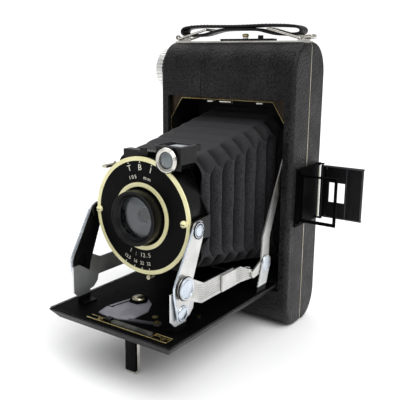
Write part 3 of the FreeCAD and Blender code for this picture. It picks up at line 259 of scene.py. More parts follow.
def rim_metal(name):
    """Cream enamel on the shutter's two rings, turning olive deep inside the well as painted shade."""
    material, tree, shader = blank(name)
    coords = add(tree, "ShaderNodeTexCoord").outputs["Object"]
    depth = add(tree, "ShaderNodeSeparateXYZ", {0: coords}).outputs["Y"]
    deep = add(tree, RANGE, {VALUE: depth, LOW: -86.4 * MM, HIGH: -82.0 * MM}).outputs[0]
    middle = (0.0, 0.0, -SHUTTER_Z * MM)
    centred = add(tree, "ShaderNodeVectorMath", {0: coords, 1: middle}, operation="ADD").outputs[0]
    flat = add(tree, "ShaderNodeVectorMath", {0: centred, 1: (1.0, 0.0, 1.0)}, operation="MULTIPLY")
    radius = add(tree, "ShaderNodeVectorMath", {0: flat.outputs[0]}, operation="LENGTH").outputs["Value"]
    well = {VALUE: radius, LOW: 20.0 * MM, HIGH: 20.2 * MM, START: 1.0, STOP: 0.0}
    inside = add(tree, RANGE, well).outputs[0]
    # Painted shade: deep inside the well the cream turns olive.
    shaded = add(tree, "ShaderNodeMath", {0: deep, 1: inside}, operation="MULTIPLY").outputs[0]
    patches = pattern(tree, NOISE, 5.0, sockets={"Detail": 4.0}).outputs[0]
    age = add(tree, RANGE, {VALUE: patches, LOW: 0.3, HIGH: 0.75}).outputs[0]
    film = {SHARE: age, FIRST: linear("#efeaba"), SECOND: linear("#dfd9a2")}
    cream = add(tree, MIXER, film, data_type="RGBA").outputs[MIXED]
    both = {SHARE: shaded, FIRST: cream, SECOND: linear("#55543a")}
    gloss = add(tree, RANGE, {VALUE: patches, LOW: 0.3, HIGH: 0.7, START: 0.28, STOP: 0.4}).outputs[0]
    set_shader(tree, shader, add(tree, MIXER, both, data_type="RGBA").outputs[MIXED], gloss,
               [(patches, 0.02)], coat=0.3)
    return material


def part_blacked(name, axis, low, high, plate, black, brushed, rough, depth):
    """Nickel plate that is black enamel below a height, or on the side towards the middle across X."""
    material, tree, shader = blank(name)
    coords = add(tree, "ShaderNodeTexCoord").outputs["Object"]
    spot = add(tree, "ShaderNodeSeparateXYZ", {0: coords}).outputs[axis]
    if axis == "X":
        spot = add(tree, "ShaderNodeMath", {0: spot}, operation="ABSOLUTE").outputs[0]
    bare = add(tree, RANGE, {VALUE: spot, LOW: low * MM, HIGH: high * MM}).outputs[0]
    patches = pattern(tree, NOISE, 9.0, sockets={"Detail": 4.0}).outputs[0]
    grain = patches
    if brushed:
        grain = pattern(tree, NOISE, 0.5, (1, 1, 0.05), sockets={"Detail": 3.0}).outputs[0]
    age = add(tree, RANGE, {VALUE: patches, LOW: 0.35, HIGH: 0.68}).outputs[0]
    plated = {SHARE: age, FIRST: linear(plate[0]), SECOND: linear(plate[1])}
    nickel = add(tree, MIXER, plated, data_type="RGBA").outputs[MIXED]
    both = {SHARE: bare, FIRST: linear(black), SECOND: nickel}
    gloss = {VALUE: grain, LOW: 0.3, HIGH: 0.7, START: rough[0], STOP: rough[1]}
    set_shader(tree, shader, add(tree, MIXER, both, data_type="RGBA").outputs[MIXED],
               add(tree, RANGE, gloss).outputs[0], [(grain, depth)], specular=0.1)
    tree.links.new(bare, shader.inputs["Metallic"])
    return material


def build_materials():
    """Every finish of the camera by a short name."""
    return {
        # Stained cowhide over metal: small pebbles, semi-matt.
        "body_leather": leather("embossed_black_cowhide", "#1b191c", "#050505", 1.15, 0.16, 0.42),
        # The same hide, cut thin and handled more on the bed's edge.
        "bed_leather": leather("thin_black_cowhide", "#1f1d1f", "#080808", 0.9, 0.12, 0.44),
        "strap_leather": leather("oiled_black_strap_leather", "#161416", "#060606", 0.8, 0.08, 0.4),
        # Stoved black enamel, semi-gloss.
        "black_enamel": enamel("stoved_black_enamel", "#09090a", "#040405", 0.26, 0.0, 0.02, 0.22),
        "dial_enamel": enamel("satin_black_dial_enamel", "#090909", "#040404", 0.4, 0.0, 0.008, 0.06),
        # The bed's upper side and the finder's leaves: deep black, baked without gloss.
        "bed_black": enamel("matt_black_bed_enamel", "#060607", "#020203", 0.5, 0.0, 0.01, 0.03),
        "plate_grey": enamel("grey_bonderised_plate", "#86848c", "#6f6d75", 0.45, 0.0, 0.01, 0.3),
        # Sandy cast strip on the front plate.
        "sand_cast": enamel("sand_cast_grey_strip", "#5a5a55", "#1d1d1b", 0.6, 0.0, 0.12, 0.3),
        "dark_inside": enamel("flat_black_inside_paint", "#0a0a0a", "#040404", 0.7, 0.0, 0.03, 0.3),
        "grey_enamel": enamel("rubbed_grey_black_enamel", "#38373c", "#242327", 0.3, 0.15),
        "letters": enamel("ivory_filled_engraving", "#e9e7da", "#cfcdbd", 0.5, 0.0, 0.004),
        # Nickel plate on steel, brushed lengthwise and gone slightly blue-white.
        "nickel_upright": metal("brushed_nickel_upright", "#dedddb", "#c6c6c4", 0.4,
                                (1, 1, 0.05), 0.5, 0.008),
        "nickel_lengthwise": metal("brushed_nickel_lengthwise", "#dedddb", "#c2c2bf", 0.4,
                                   (1, 0.05, 1), 0.5, 0.008),
        # The arms are blacked on the side that could throw light into the lens, the brackets at the foot.
        "bracket": part_blacked("nickel_bracket_blacked_foot", "Z", 31.0, 31.2, ("#e2e3e3", "#cdcfd0"),
                                "#060606", False, (0.38, 0.46), 0.01),
        "arm": part_blacked("nickel_blacked_inside", "X", 31.02, 31.1, ("#dfdfdd", "#cacac8"),
                            "#0a0a0b", True, (0.3, 0.42), 0.008),
        # Knurled and plated brass, matt from wear.
        "knob": metal("worn_knurled_nickel", "#f0f0ee", "#d4d4d2", 0.42, (1, 1, 1), 0.8, 0.01),
        "nickel_cap": metal("polished_nickel_cap", "#dce4ec", "#c3cdd8", 0.24, (1, 1, 1), 2.0, 0.004),
        "bright_nickel": metal("polished_nickel", "#e4e2dc", "#b5b2aa", 0.17, (1, 1, 1), 1.6, 0.006),
        "aged_nickel": metal("aged_nickel_trim", "#cdc8b6", "#8f8869", 0.3, (1, 1, 1), 1.2, 0.01),
        # Lacquered brass showing through worn nickel.
        "brass": metal("worn_yellow_brass", "#d2c48e", "#9c8a58", 0.28, (1, 1, 1), 1.4, 0.01),
        "rim": rim_metal("cream_enamel_ring"),
        "opening": two_tone_metal("bronzed_strip_with_nickel_tabs"),
        # Crown glass of lenses: nearly clear, edges blackened.
        "lens": glass("polished_crown_glass", "#cdd6dc", 0.0, 1.0),
        "ground": glass("fine_ground_finder_glass", "#d8dde0", 0.35, 0.35),
        "ruby": enamel("ruby_celluloid", "#5a0c0a", "#3a0504", 0.12, 0.6, 0.004),
        "folds": cloth_folds("rubberised_bellows_cloth"),
        "felt": enamel("black_velvet_paper", "#0b0b0c", "#060606", 0.85, 0.0, 0.05, 0.2),
    }


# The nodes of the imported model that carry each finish.
FINISHED_NODES = {
    "body_leather": "body_leather back_leather",
    "bed_leather": "bed_leather",
    "dark_inside": "body_shell back_shell chamber_box",
    "bed_black": "bed_tray bed_plate bed_front_fittings finder_base finder_front_frame",
    "bracket": "bed_brackets",
    "black_enamel":
        "bed_hinge_sleeve bed_hinge_leaves bed_catch standard_plate shutter_case rear_lens_cell "
        "lens_barrel mode_lever reflex_finder pressure_plate latch_bar finder_rear_frame",
    "aged_nickel":
        "back_hinge_sleeve back_hinge_leaves aperture_lever release_lever take_up_spool pressure_spring "
        "window_cover seam_trim",
    "grey_enamel": "bed_lever shutter_blade",
    "brass": "bed_screws",
    "nickel_cap": "bed_pivots",
    "bright_nickel": "tripod_bush stand_leg top_plate strap_links roller_top roller_bottom",
    "dial_enamel": "shutter_face",
    "rim": "shutter_rim",
    "lens": "rear_glass front_glass",
    "ground": "finder_glasses",
    "knob": "winding_knob",
    "ruby": "red_window",
    "opening": "opening_frame",
    "arm": "front_arm_right front_arm_left",
    "nickel_lengthwise": "front_brace_right front_brace_left rear_brace_right rear_brace_left",
    "nickel_upright": "rear_strut_right rear_strut_left",
    "strap_leather": "carry_strap",
    "folds": "bellows",
}
FINISH = {}


# ---------------------------------------------------------------- shapes

def place(mesh_maker, name, finish, body, *, smooth=True):
    """Makes an object from a bmesh, gives it a finish and lets it ride on a body."""
    bm = bmesh.new()
    mesh_maker(bm)
    bmesh.ops.scale(bm, verts=bm.verts, vec=(MM, MM, MM))
    bmesh.ops.recalc_face_normals(bm, faces=bm.faces)
    mesh = bpy.data.meshes.new(name)
    bm.to_mesh(mesh)
    bm.free()
    return settle(bpy.data.objects.new(name, mesh), finish, body, smooth=smooth)


def settle(piece, finish, body, *, smooth=True):
    """Links a piece into the scene, with its material, shading and body."""
    if piece.name not in bpy.context.scene.collection.objects:
        bpy.context.scene.collection.objects.link(piece)
    piece.data.materials.clear()
    piece.data.materials.append(FINISH[finish])
    piece.data.shade_smooth() if smooth else piece.data.shade_flat()
    if smooth:
        piece.data.set_sharp_from_angle(angle=math.radians(38))
    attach(piece, body)
    return piece


def brick(bm, x0, x1, y0, y1, z0, z1, bevel=0.0, segments=2):
    """A block between six planes with rounded edges."""
    made = bmesh.ops.create_cube(bm, size=1.0)["verts"]
    bmesh.ops.scale(bm, verts=made, vec=(x1 - x0, y1 - y0, z1 - z0))
    bmesh.ops.translate(bm, verts=made, vec=((x0 + x1) / 2, (y0 + y1) / 2, (z0 + z1) / 2))
    if bevel:
        edges = list({e for v in made for e in v.link_edges})
        done = bmesh.ops.bevel(bm, geom=edges, offset=bevel, offset_type="OFFSET", segments=segments,
                               profile=0.5, affect="EDGES", material=-1)
        made = list({v for f in done["faces"] for v in f.verts} | {v for v in made if v.is_valid})
    return made


def turned(bm, profile, centre, axis="Y", steps=48):
    """Spins a profile of (radius, place along the axis) round an axis through `centre`."""
    turn = {"X": Vector((1, 0, 0)), "Y": Vector((0, 1, 0)), "Z": Vector((0, 0, 1))}[axis]
    out = Vector((0, 0, 1)) if axis != "Z" else Vector((1, 0, 0))
    start = [bm.verts.new(Vector(centre) + out * r + turn * a) for r, a in profile]
    edges = [bm.edges.new(pair) for pair in zip(start, start[1:])]
    bmesh.ops.spin(bm, geom=start + edges, cent=centre, axis=turn, angle=2 * math.pi, steps=steps,
                   use_merge=True, use_duplicate=False)
    bmesh.ops.remove_doubles(bm, verts=bm.verts, dist=1e-4)
    bmesh.ops.dissolve_degenerate(bm, edges=bm.edges, dist=1e-5)


def wire(bm, points, radius, closed=False, sides=8, half_width=None):
    """A round wire along points, its ends capped. With a half width it is a flat band, wide along Y."""
    points = [Vector(p) for p in points]
    count = len(points)
    rings = []
    normal = Vector((0, 1, 0)) if half_width else None
    for i, p in enumerate(points):
        before = points[i - 1] if i or closed else p
        after = points[(i + 1) % count] if i < count - 1 or closed else p
        along = (after - before).normalized()
        if normal is None:
            normal = along.orthogonal().normalized()
        normal = (normal - along * normal.dot(along)).normalized()
        other = along.cross(normal)
        made = bmesh.ops.create_circle(bm, segments=sides, radius=radius)["verts"]
        if half_width:
            for vert in made:
                wide = math.copysign(abs(vert.co.x / radius) ** 0.35, vert.co.x)
                thick = math.copysign(abs(vert.co.y / radius) ** 0.55, vert.co.y)
                vert.co = (wide * half_width, thick * radius, 0)
        matrix = Matrix((normal, other, along)).transposed().to_4x4()
        bmesh.ops.transform(bm, verts=made, matrix=Matrix.Translation(p) @ matrix)
        rings.append(list({e for v in made for e in v.link_edges}))
    pairs = list(zip(rings, rings[1:])) + ([(rings[-1], rings[0])] if closed else [])
    for a, b in pairs:
        bmesh.ops.bridge_loops(bm, edges=a + b)
    if not closed:
        bmesh.ops.holes_fill(bm, edges=rings[0] + rings[-1], sides=0)


def slab(bm, corners, shift):
    """A flat face through `corners`, pushed along `shift` into a plate."""
    face = bm.faces.new([bm.verts.new(corner) for corner in corners])
    grown = bmesh.ops.extrude_face_region(bm, geom=[face])["geom"]
    bmesh.ops.translate(bm, verts=[g for g in grown if isinstance(g, bmesh.types.BMVert)], vec=shift)


def letters(text, size, place_at, turn, depth=0.06):
    """Text as a mesh on the dial, facing forward, turned in its own plane."""
    curve = bpy.data.curves.new("text", "FONT")
    curve.body = text
    curve.size = size * MM
    curve.align_x = "CENTER"
    curve.align_y = "CENTER"
    curve.extrude = depth * MM
    curve.resolution_u = 3
    holder = bpy.data.objects.new("text", curve)
    bpy.context.scene.collection.objects.link(holder)
    bpy.context.view_layer.update()
    mesh = bpy.data.meshes.new_from_object(holder.evaluated_get(bpy.context.evaluated_depsgraph_get()))
    bpy.data.objects.remove(holder)
    upright = Matrix.Rotation(math.pi / 2, 4, "X")
    swing = Matrix.Rotation(turn, 4, "Y")
    mesh.transform(Matrix.Translation(Vector(place_at) * MM) @ swing @ upright)
    return mesh


def joined(meshes, name, finish, body):
    """Several meshes as one piece."""
    bm = bmesh.new()
    for mesh in meshes:
        bm.from_mesh(mesh)
        bpy.data.meshes.remove(mesh)
    whole = bpy.data.meshes.new(name)
    bm.to_mesh(whole)
    bm.free()
    return settle(bpy.data.objects.new(name, whole), finish, body, smooth=False)


# ---------------------------------------------------------------- sizes and colours a user may change

class CameraStageSettings(bpy.types.PropertyGroup):
    floor: bpy.props.StringProperty(name="Floor", description="Colour of the table top", default="#fbfbfb")
    room_light: bpy.props.FloatProperty(name="Room", description="Strength of the even light all round",
                                        default=0.5, min=0.0)
    key_power: bpy.props.FloatProperty(name="Key light", default=2.2, min=0.0,
                                       description="Strength of the soft light from the right")
    top_power: bpy.props.FloatProperty(name="Top light", description="Strength of the soft light from above",
                                       default=1.2, min=0.0)
    lens: bpy.props.FloatProperty(name="Lens", description="Focal length of the view", default=55.2, min=10.0)


class CameraBellowsSettings(bpy.types.PropertyGroup):
    folds: bpy.props.FloatProperty(name="Folds", description="Number of outer folds", default=8.45,
                                   min=4.0, max=30.0)
    side_depth: bpy.props.FloatProperty(name="Side depth", default=7.0, min=0.5, max=12.0,
                                        description="Depth of the side folds in millimetres")
    top_depth: bpy.props.FloatProperty(name="Top depth", description="Depth of the top folds in millimetres",
                                       default=1.1, min=0.1, max=8.0)


# ---------------------------------------------------------------- operators

class CAMERA_OT_finishes(bpy.types.Operator):
    """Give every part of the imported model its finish"""
    bl_idname = "folding_camera.finishes"
    bl_label = "Finishes"

    def execute(self, context):
        FINISH.update(build_materials())
        for finish, names in FINISHED_NODES.items():
            for name in names.split():
                NODES[name].data.materials.clear()
                NODES[name].data.materials.append(FINISH[finish])
        return {"FINISHED"}


# The bellows at the standard and at the film gate: half width, lowest and highest point. Then where it starts
# along Y, how long it is, and how far its corners are cut.
BELLOWS_FRONT, BELLOWS_BACK = Vector((26.0, 48.0, 101.6)), Vector((28.9, 33.5, 119.0))
BELLOWS_START, BELLOWS_LENGTH, BELLOWS_CORNER = -73.6, 85.4, 7.0


def bellows_point(around, along, settings):
    """Where a point of the bellows lies, how far out its fold stands, and whether it is on a side.

    around and along run from 0 to 1.
    """
    half, low, high = BELLOWS_FRONT.lerp(BELLOWS_BACK, along)
    y = BELLOWS_START + BELLOWS_LENGTH * along
    corner = BELLOWS_CORNER
    arc = corner * 1.25
    lengths = [2 * (half - corner), arc, high - low - 2 * corner, arc] * 2
    travel = around * sum(lengths)
    part = 0
    while part < 7 and travel > lengths[part]:
        travel -= lengths[part]
        part += 1
    share = travel / lengths[part]
    x_in, z_low, z_high = half - corner, low + corner, high - corner
    outline = [(-x_in, high), (x_in, high), (half, z_high), (half, z_low), (x_in, low), (-x_in, low),
               (-half, z_low), (-half, z_high)]
    (ax, az), (bx, bz) = outline[part], outline[(part + 1) % 8]
    x, z = ax + (bx - ax) * share, az + (bz - az) * share
    is_corner = part % 2 == 1
    bulge = 1.5 * math.sin(math.pi * share) if is_corner else 0.0
    outward = Vector((bx - ax, 0.0, bz - az)).normalized()
    outward = Vector((-outward.z, 0.0, outward.x))
    if outward.dot(Vector((x, 0.0, z - (low + high) / 2))) < 0:
        outward = -outward
    # Each pleat rises and falls once. On the top and bottom they stand half a pleat behind the sides.
    phase = along * settings.folds
    pleat = int(phase)
    behind = (phase % 1.0 + 0.5) % 1.0
    wobble = 0.35 * math.sin(pleat * 2.3 + z * 0.11) + 0.25 * math.sin(z * 0.31 + pleat)
    ridge_side = max(0.0, math.sin(math.pi * (phase % 1.0))) ** 0.62
    ridge_top = min(1.0, max(0.0, math.sin(math.pi * behind)) ** 0.2)
    ridge_corner = max(0.0, math.sin(math.pi * behind)) ** 0.9
    side = 1.0 if part in (2, 6) else 0.0
    # The sides' folds get shallow in the last 5 mm before a corner.
    edge = min(share, 1.0 - share) * lengths[part]
    fade = min(1.0, edge / 5.0)
    fade = fade * fade * (3 - 2 * fade)
    if is_corner:
        ridge = ridge_corner * 0.9
        depth = 2.6 * math.sin(math.pi * share) + 1.2
        shift = -depth * (1 - ridge_corner)
        side = 0.6
    elif side:
        ridge = ridge_side
        shift = -(settings.side_depth * fade + 1.4 * (1 - fade)) * (1 - ridge_side) + 0.25 * wobble
    else:
        ridge = ridge_top
        shift = -settings.top_depth * (1 - ridge_top) + 0.9 * (behind - 0.5) * fade
    # Both ends are flat, where the cloth is glued to the metal.
    ends = min(1.0, along / 0.03, (1.0 - along) / 0.03)
    shift *= max(0.0, ends)
    y += 0.3 * wobble * ends
    out = outward * (shift + bulge)
    return Vector((x, y, z)) + out, ridge, side


class CAMERA_OT_bellows(bpy.types.Operator):
    """Fold the bellows between the front standard and the film gate"""
    bl_idname = "folding_camera.bellows"
    bl_label = "Bellows"

    def execute(self, context):
        settings = context.scene.camera_bellows
        rows, columns = round(settings.folds * 15), 176
        bm = bmesh.new()
        bmesh.ops.create_grid(bm, x_segments=columns, y_segments=rows, size=0.5)
        ridge_layer = bm.verts.layers.float.new("ridge")
        side_layer = bm.verts.layers.float.new("side")
        for vert in bm.verts:
            spot, ridge, side = bellows_point((vert.co.x + 0.5) % 1.0, vert.co.y + 0.5, settings)
            vert.co = spot * MM
            vert[ridge_layer] = ridge
            vert[side_layer] = side
        bmesh.ops.remove_doubles(bm, verts=bm.verts, dist=1e-6)
        bmesh.ops.smooth_vert(bm, verts=bm.verts, factor=0.25,
                              use_axis_x=True, use_axis_y=True, use_axis_z=True)
        bmesh.ops.recalc_face_normals(bm, faces=bm.faces)
        bmesh.ops.solidify(bm, geom=bm.faces[:], thickness=0.35 * MM)
        mesh = bpy.data.meshes.new("folded_bellows")
        bm.to_mesh(mesh)
        bm.free()
        piece = settle(bpy.data.objects.new("folded_bellows", mesh), "folds", "body")
        piece.data.set_sharp_from_angle(angle=math.radians(70))
        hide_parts("bellows")
        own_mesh(piece)
        return {"FINISHED"}


# The middle line of the strap as (x, z): over the top from left to right, then back underneath.
STRAP_TOP = [(-38.2, 162.2), (-37.0, 163.9), (-32.5, 164.6), (-23.7, 164.9), (-12.0, 164.6), (-3.0, 164.4),
             (7.0, 164.5), (16.4, 164.7), (25.0, 164.5), (31.6, 164.2), (36.8, 163.5), (38.4, 162.0)]
STRAP_LOW = [(37.6, 160.4), (34.0, 159.9), (24.0, 160.0), (18.0, 161.3), (13.0, 162.5), (6.0, 162.9),
             (-6.0, 162.9), (-12.0, 162.6), (-18.0, 161.2), (-24.0, 159.9), (-34.0, 159.9), (-37.4, 160.5)]
STRAP_HALF_WIDTH, STRAP_HALF_THICKNESS, STITCH_SPACING = 4.4, 0.82, 2.4


def softened(points, times=2):
    """A closed line with its corners cut off again and again."""
    for _ in range(times):
        pairs = list(zip(points, points[1:] + points[:1]))
        points = [tuple(a * (1 - t) + b * t for a, b in zip(p, q)) for p, q in pairs for t in (0.25, 0.75)]
    return points


class CAMERA_OT_strap(bpy.types.Operator):
    """Make the leather carrying strap, folded under at both ends round the wire links, and its stitching"""
    bl_idname = "folding_camera.strap"
    bl_label = "Carrying strap"

    def execute(self, context):
        def strap(bm):
            line = [(x, 0.15 * math.sin(x * 0.2), z) for x, z in softened(STRAP_TOP + STRAP_LOW)]
            wire(bm, line, STRAP_HALF_THICKNESS, True, 24, STRAP_HALF_WIDTH)
        handle = place(strap, "carrying_strap", "strap_leather", "body")
        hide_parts("carry_strap")

        def stitches(bm):
            for side in (-3.3, 3.3):
                for (x, z), (far_x, far_z) in zip(STRAP_TOP[2:-3], STRAP_TOP[3:-2]):
                    count = round((far_x - x) / STITCH_SPACING)
                    for i in range(count):
                        share = (i + 0.5) / count
                        spot, top = x + (far_x - x) * share, z + (far_z - z) * share + 0.66
                        ends = (spot - 0.75, side, top), (spot + 0.75, side, top)
                        wire(bm, [ends[0], (spot, side, top + 0.12), ends[1]], 0.15, sides=5)
        place(stitches, "strap_stitches", "dark_inside", "body")

        def lugs(bm):
            brick(bm, 39.0, 44.6, -3.2, 3.0, 157.4, 159.9, 1.0, 4)
            bead = [(0.9, -5.9), (1.5, -5.6), (1.5, -4.6), (0.9, -4.3), (0.9, -5.9)]
            turned(bm, bead, (-39.6, 0, 158.6), "Y", 24)
        place(lugs, "strap_end_lugs", "bright_nickel", "body")

        def nub(bm):
            dome = [(0.0, 160.6), (1.4, 160.5), (1.9, 160.0), (1.9, 159.2), (1.5, 158.8)]
            turned(bm, dome, (3.4, -0.4, 0), "Z", 24)
        place(nub, "fixed_nub_cap", "brass", "body")
        return {"FINISHED"}


class CAMERA_OT_body_trim(bpy.types.Operator):
    """Add the embossed lines on the covering, and the rim and tabs of the opening"""
    bl_idname = "folding_camera.body_trim"
    bl_label = "Body trim"

    def execute(self, context):
        def lines(bm):
            for x in (-15.0, -12.6, -10.8, 27.0, 29.3, 31.4):
                upright = [(x, BODY_FRONT_Y, z) for z in (127.2, 131.0, 135.0, 138.9)]
                over_the_top = [(x, -4.0 - 13.45 * math.cos(a), 139.0 + 16.8 * math.sin(a))
                                for a in (0.15, 0.3, 0.45, 0.6, 0.75, 0.9, 1.05)]
                wire(bm, upright + over_the_top, 0.34, sides=8)
        place(lines, "embossed_lines", "body_leather", "body")

        half, low, high, cut_x, cut_z = 37.1, 24.4, 125.1, 7.5, 11.5
        corners = [(half, low), (half, high - cut_z), (half - cut_x, high), (-half + cut_x, high),
                   (-half, high - cut_z), (-half, low)]

        def rim(bm):
            wire(bm, [(x, -14.9, z) for x, z in corners], 0.25, sides=8)
        place(rim, "opening_edge", "brass", "body")

        def tabs(bm):
            for x in (-10.0, 21.5):
                brick(bm, x - 1.9, x + 1.9, -15.0, -13.95, high - 1.6, high - 0.5, 0.3)
            brick(bm, -4.0, 3.6, -15.0, -13.95, high - 1.7, high - 0.4, 0.5, 3)
        place(tabs, "opening_tabs", "bright_nickel", "body")
        return {"FINISHED"}


class CAMERA_OT_dial(bpy.types.Operator):
    """Engrave the shutter's dial and add its screws"""
    bl_idname = "folding_camera.dial"
    bl_label = "Shutter dial"

    def execute(self, context):
        marks = []

        def ring_text(text, size, radius, degrees, upside=False):
            angle = math.radians(degrees)
            spot = (radius * math.sin(angle), FACE_Y - 0.02, SHUTTER_Z + radius * math.cos(angle))
            marks.append(letters(text, size, spot, angle + (math.pi if upside else 0.0)))

        for text, degrees in (("T", -17.5), ("B", -1.5), ("I", 14.5)):
            ring_text(text, 4.0, 23.4, degrees)
        for text, degrees in zip("105 mm", (-24, -18.5, -13, 0, 4.5, 12)):
            if text != " ":
                ring_text(text, 2.5, 19.0, degrees + 3)
        for text, degrees in zip("1 : 12.5", range(201, 160, -5)):
            if text != " ":
                ring_text(text, 3.0, 19.3, degrees, True)
        for text, degrees in (("12.5", 203), ("16", 190.5), ("22", 180), ("32", 170)):
            ring_text(text, 2.4, 23.4, degrees, True)
        joined(marks, "dial_engraving", "letters", "standard")

        def ticks(bm):
            for degrees in (-17.5, -1.5, 14.5, 203, 190.5, 180, 170):
                angle = math.radians(degrees)
                outer = Vector((math.sin(angle), 0, math.cos(angle)))
                across = Vector((math.cos(angle), 0, -math.sin(angle)))
                centre = Vector((0, FACE_Y - 0.02, SHUTTER_Z))
                tip, base = centre + outer * 26.5, centre + outer * 25.7
                slab(bm, (tip, base + across * 0.4, base - across * 0.4), (0, -0.05, 0))
        place(ticks, "dial_ticks", "letters", "standard", smooth=False)

        screw_places = ((25.2, 74.4), (-26.9, 74.0))

        def screws(bm):
            for x, z in screw_places:
                turned(bm, [(0.0, -88.3), (0.9, -88.2), (1.5, -87.8), (1.75, -87.2), (1.75, -86.5)],
                       (x, 0, z), "Y", 24)
        place(screws, "rim_screws", "rim", "standard")

        # The slots are dark bricks on the screw heads: painted shade in the slots.
        def slots(bm):
            for x, z in screw_places:
                brick(bm, x - 1.2, x + 1.2, -88.36, -88.0, z - 0.16, z + 0.16)
        place(slots, "rim_screw_slots", "dark_inside", "standard", smooth=False)
        return {"FINISHED"}


class CAMERA_OT_lens(bpy.types.Operator):
    """Add the rings of the lens mount and the stop behind the glass"""
    bl_idname = "folding_camera.lens"
    bl_label = "Lens"

    def execute(self, context):
        def rings(bm):
            for radius, y, thick in ((12.9, -93.05, 0.28), (11.7, -92.75, 0.25), (10.5, -91.9, 0.22)):
                profile = [(radius + thick * math.cos(a), y + thick * math.sin(a))
                           for a in [math.pi * 2 * i / 10 for i in range(11)]]
                turned(bm, profile, (0, 0, SHUTTER_Z), "Y", 64)
        place(rings, "lens_rings", "black_enamel", "focus_mount")

        def stop(bm):
            turned(bm, [(9.6, -85.2), (3.4, -84.6), (3.4, -84.3), (9.6, -84.9)], (0, 0, SHUTTER_Z), "Y", 48)
        place(stop, "lens_stop", "grey_enamel", "focus_mount")
        return {"FINISHED"}


class CAMERA_OT_struts(bpy.types.Operator):
    """Add the pressed ribs, rings and caps of the strut work"""
    bl_idname = "folding_camera.struts"
    bl_label = "Strut detail"

    def execute(self, context):
        for side, label in ((1, "right"), (-1, "left")):
            for half, path, x, rises in (
                    ("front", FRONT_BRACE, 33.32, (-3.2, -2.1, -1.0, 0.1, 1.2, 2.3, 3.4)),
                    ("rear", REAR_BRACE, 34.42, (-3.0, -2.0, -1.0, 0.0, 1.0, 2.0, 3.0))):
                def ribs(bm):
                    for rise in rises:
                        wire(bm, [(side * x, y, z + rise) for y, z in path], 0.2, sides=6)
                place(ribs, f"{half}_brace_ribs_{label}", "nickel_lengthwise", f"{half}_brace_{label}_body")

            def caps(bm):
                for pivot, r, x in ((EAR_PIVOT, 3.7, 32.0), (KNEE_PIVOT, 4.9, 34.05)):
                    edge = x + 0.3
                    profile = [(0.0, edge + 0.1), (r - 1.1, edge + 0.02), (r - 0.7, edge - 0.2),
                               (r - 0.45, edge), (r - 0.1, edge - 0.05), (r, edge - 0.35), (r, x - 0.2)]
                    turned(bm, [(radius, side * out) for radius, out in profile], (0, *pivot), "X", 40)
            place(caps, "pivot_caps_" + label, "nickel_cap", f"arm_{label}")

            def rings(bm):
                for pivot, r, x in ((EAR_PIVOT, 3.85, 31.95), (KNEE_PIVOT, 5.35, 33.35)):
                    turned(bm, [(r - 0.5, side * x), (r, side * (x + 0.5)), (r + 0.25, side * (x + 0.3)),
                                (r + 0.25, side * x)], (0, *pivot), "X", 40)
            place(rings, "pivot_rings_" + label, "dark_inside", f"arm_{label}")

            def lower_cap(bm):
                profile = [(0.0, 32.44), (2.6, 32.42), (2.9, 32.2), (3.2, 32.4), (3.6, 32.36), (3.8, 32.1),
                           (3.8, 31.96)]
                turned(bm, [(radius, side * out) for radius, out in profile], (0, *BED_PIVOT), "X", 40)
            place(lower_cap, "lower_cap_" + label, "nickel_cap", "bed")

            def flange(bm):
                edge = [(-100.3, 33.5), (-101.2, 39.0), (-102.8, 46.0), (-103.0, 49.5), (-101.8, 52.6),
                        (-89.0, 73.6)]
                wire(bm, [(side * 31.9, y, z) for y, z in edge], 0.5, sides=10)
            place(flange, "arm_flange_" + label, "nickel_cap", f"arm_{label}")

            def washer(bm):
                profile = [(0.0, 30.5), (1.4, 30.5), (1.5, 30.75), (3.4, 30.8), (3.6, 31.0)]
                turned(bm, [(radius, side * out) for radius, out in profile], (0, *KNEE_PIVOT), "X", 32)
            place(washer, "knee_washer_" + label, "dial_enamel", f"arm_{label}")
        return {"FINISHED"}


class CAMERA_OT_finders(bpy.types.Operator):
    """Add the lens, ring and top edge of the reflecting finder, and the frame finder's edges and ribs"""
    bl_idname = "folding_camera.finders"
    bl_label = "Finders"

    def execute(self, context):
        def ring(bm):
            turned(bm, [(3.9, -87.6), (3.9, -88.9), (4.4, -89.3), (4.9, -89.35), (5.1, -89.1), (5.5, -89.1),
                        (5.9, -88.6), (5.9, -87.4)], FINDER_LENS, "Y", 56)
        place(ring, "finder_lens_ring", "bright_nickel", "small_finder")

        def bead(bm):
            turned(bm, [(0.0, -88.75), (1.9, -88.6), (3.2, -88.25), (3.95, -87.8)], FINDER_LENS, "Y", 40)
        place(bead, "finder_front_lens", "lens", "small_finder")

        def frame_top(bm):
            outer = [(9.8, -87.9), (23.6, -87.9), (23.6, -75.8), (9.8, -75.8)]
            wire(bm, [(x, y, 109.2) for x, y in outer], 0.35, closed=True, sides=8)
        place(frame_top, "finder_top_edge", "grey_enamel", "small_finder")

        def hinge_side(bm):
            brick(bm, 45.2, 46.8, 15.25, 15.95, 60.1, 89.3, 0.15)
        place(hinge_side, "rear_leaf_hinge_side", "bed_black", "finder_rear")

        def ribs(bm):
            for x in (49.0, 60.7, 69.5):
                brick(bm, x - 0.3, x + 0.3, 14.75, 15.25, 60.2, 89.2, 0.18)
            for z in (60.4, 89.0):
                brick(bm, 47.0, 69.6, 14.8, 15.25, z - 0.3, z + 0.3, 0.15)
        place(ribs, "rear_leaf_ribs", "grey_enamel", "finder_rear")

        def strip(bm):
            brick(bm, 44.5, 45.2, 14.2, 14.8, 60.0, 89.2, 0.12)
        place(strip, "rear_ear_bright_edge", "letters", "body")
        return {"FINISHED"}


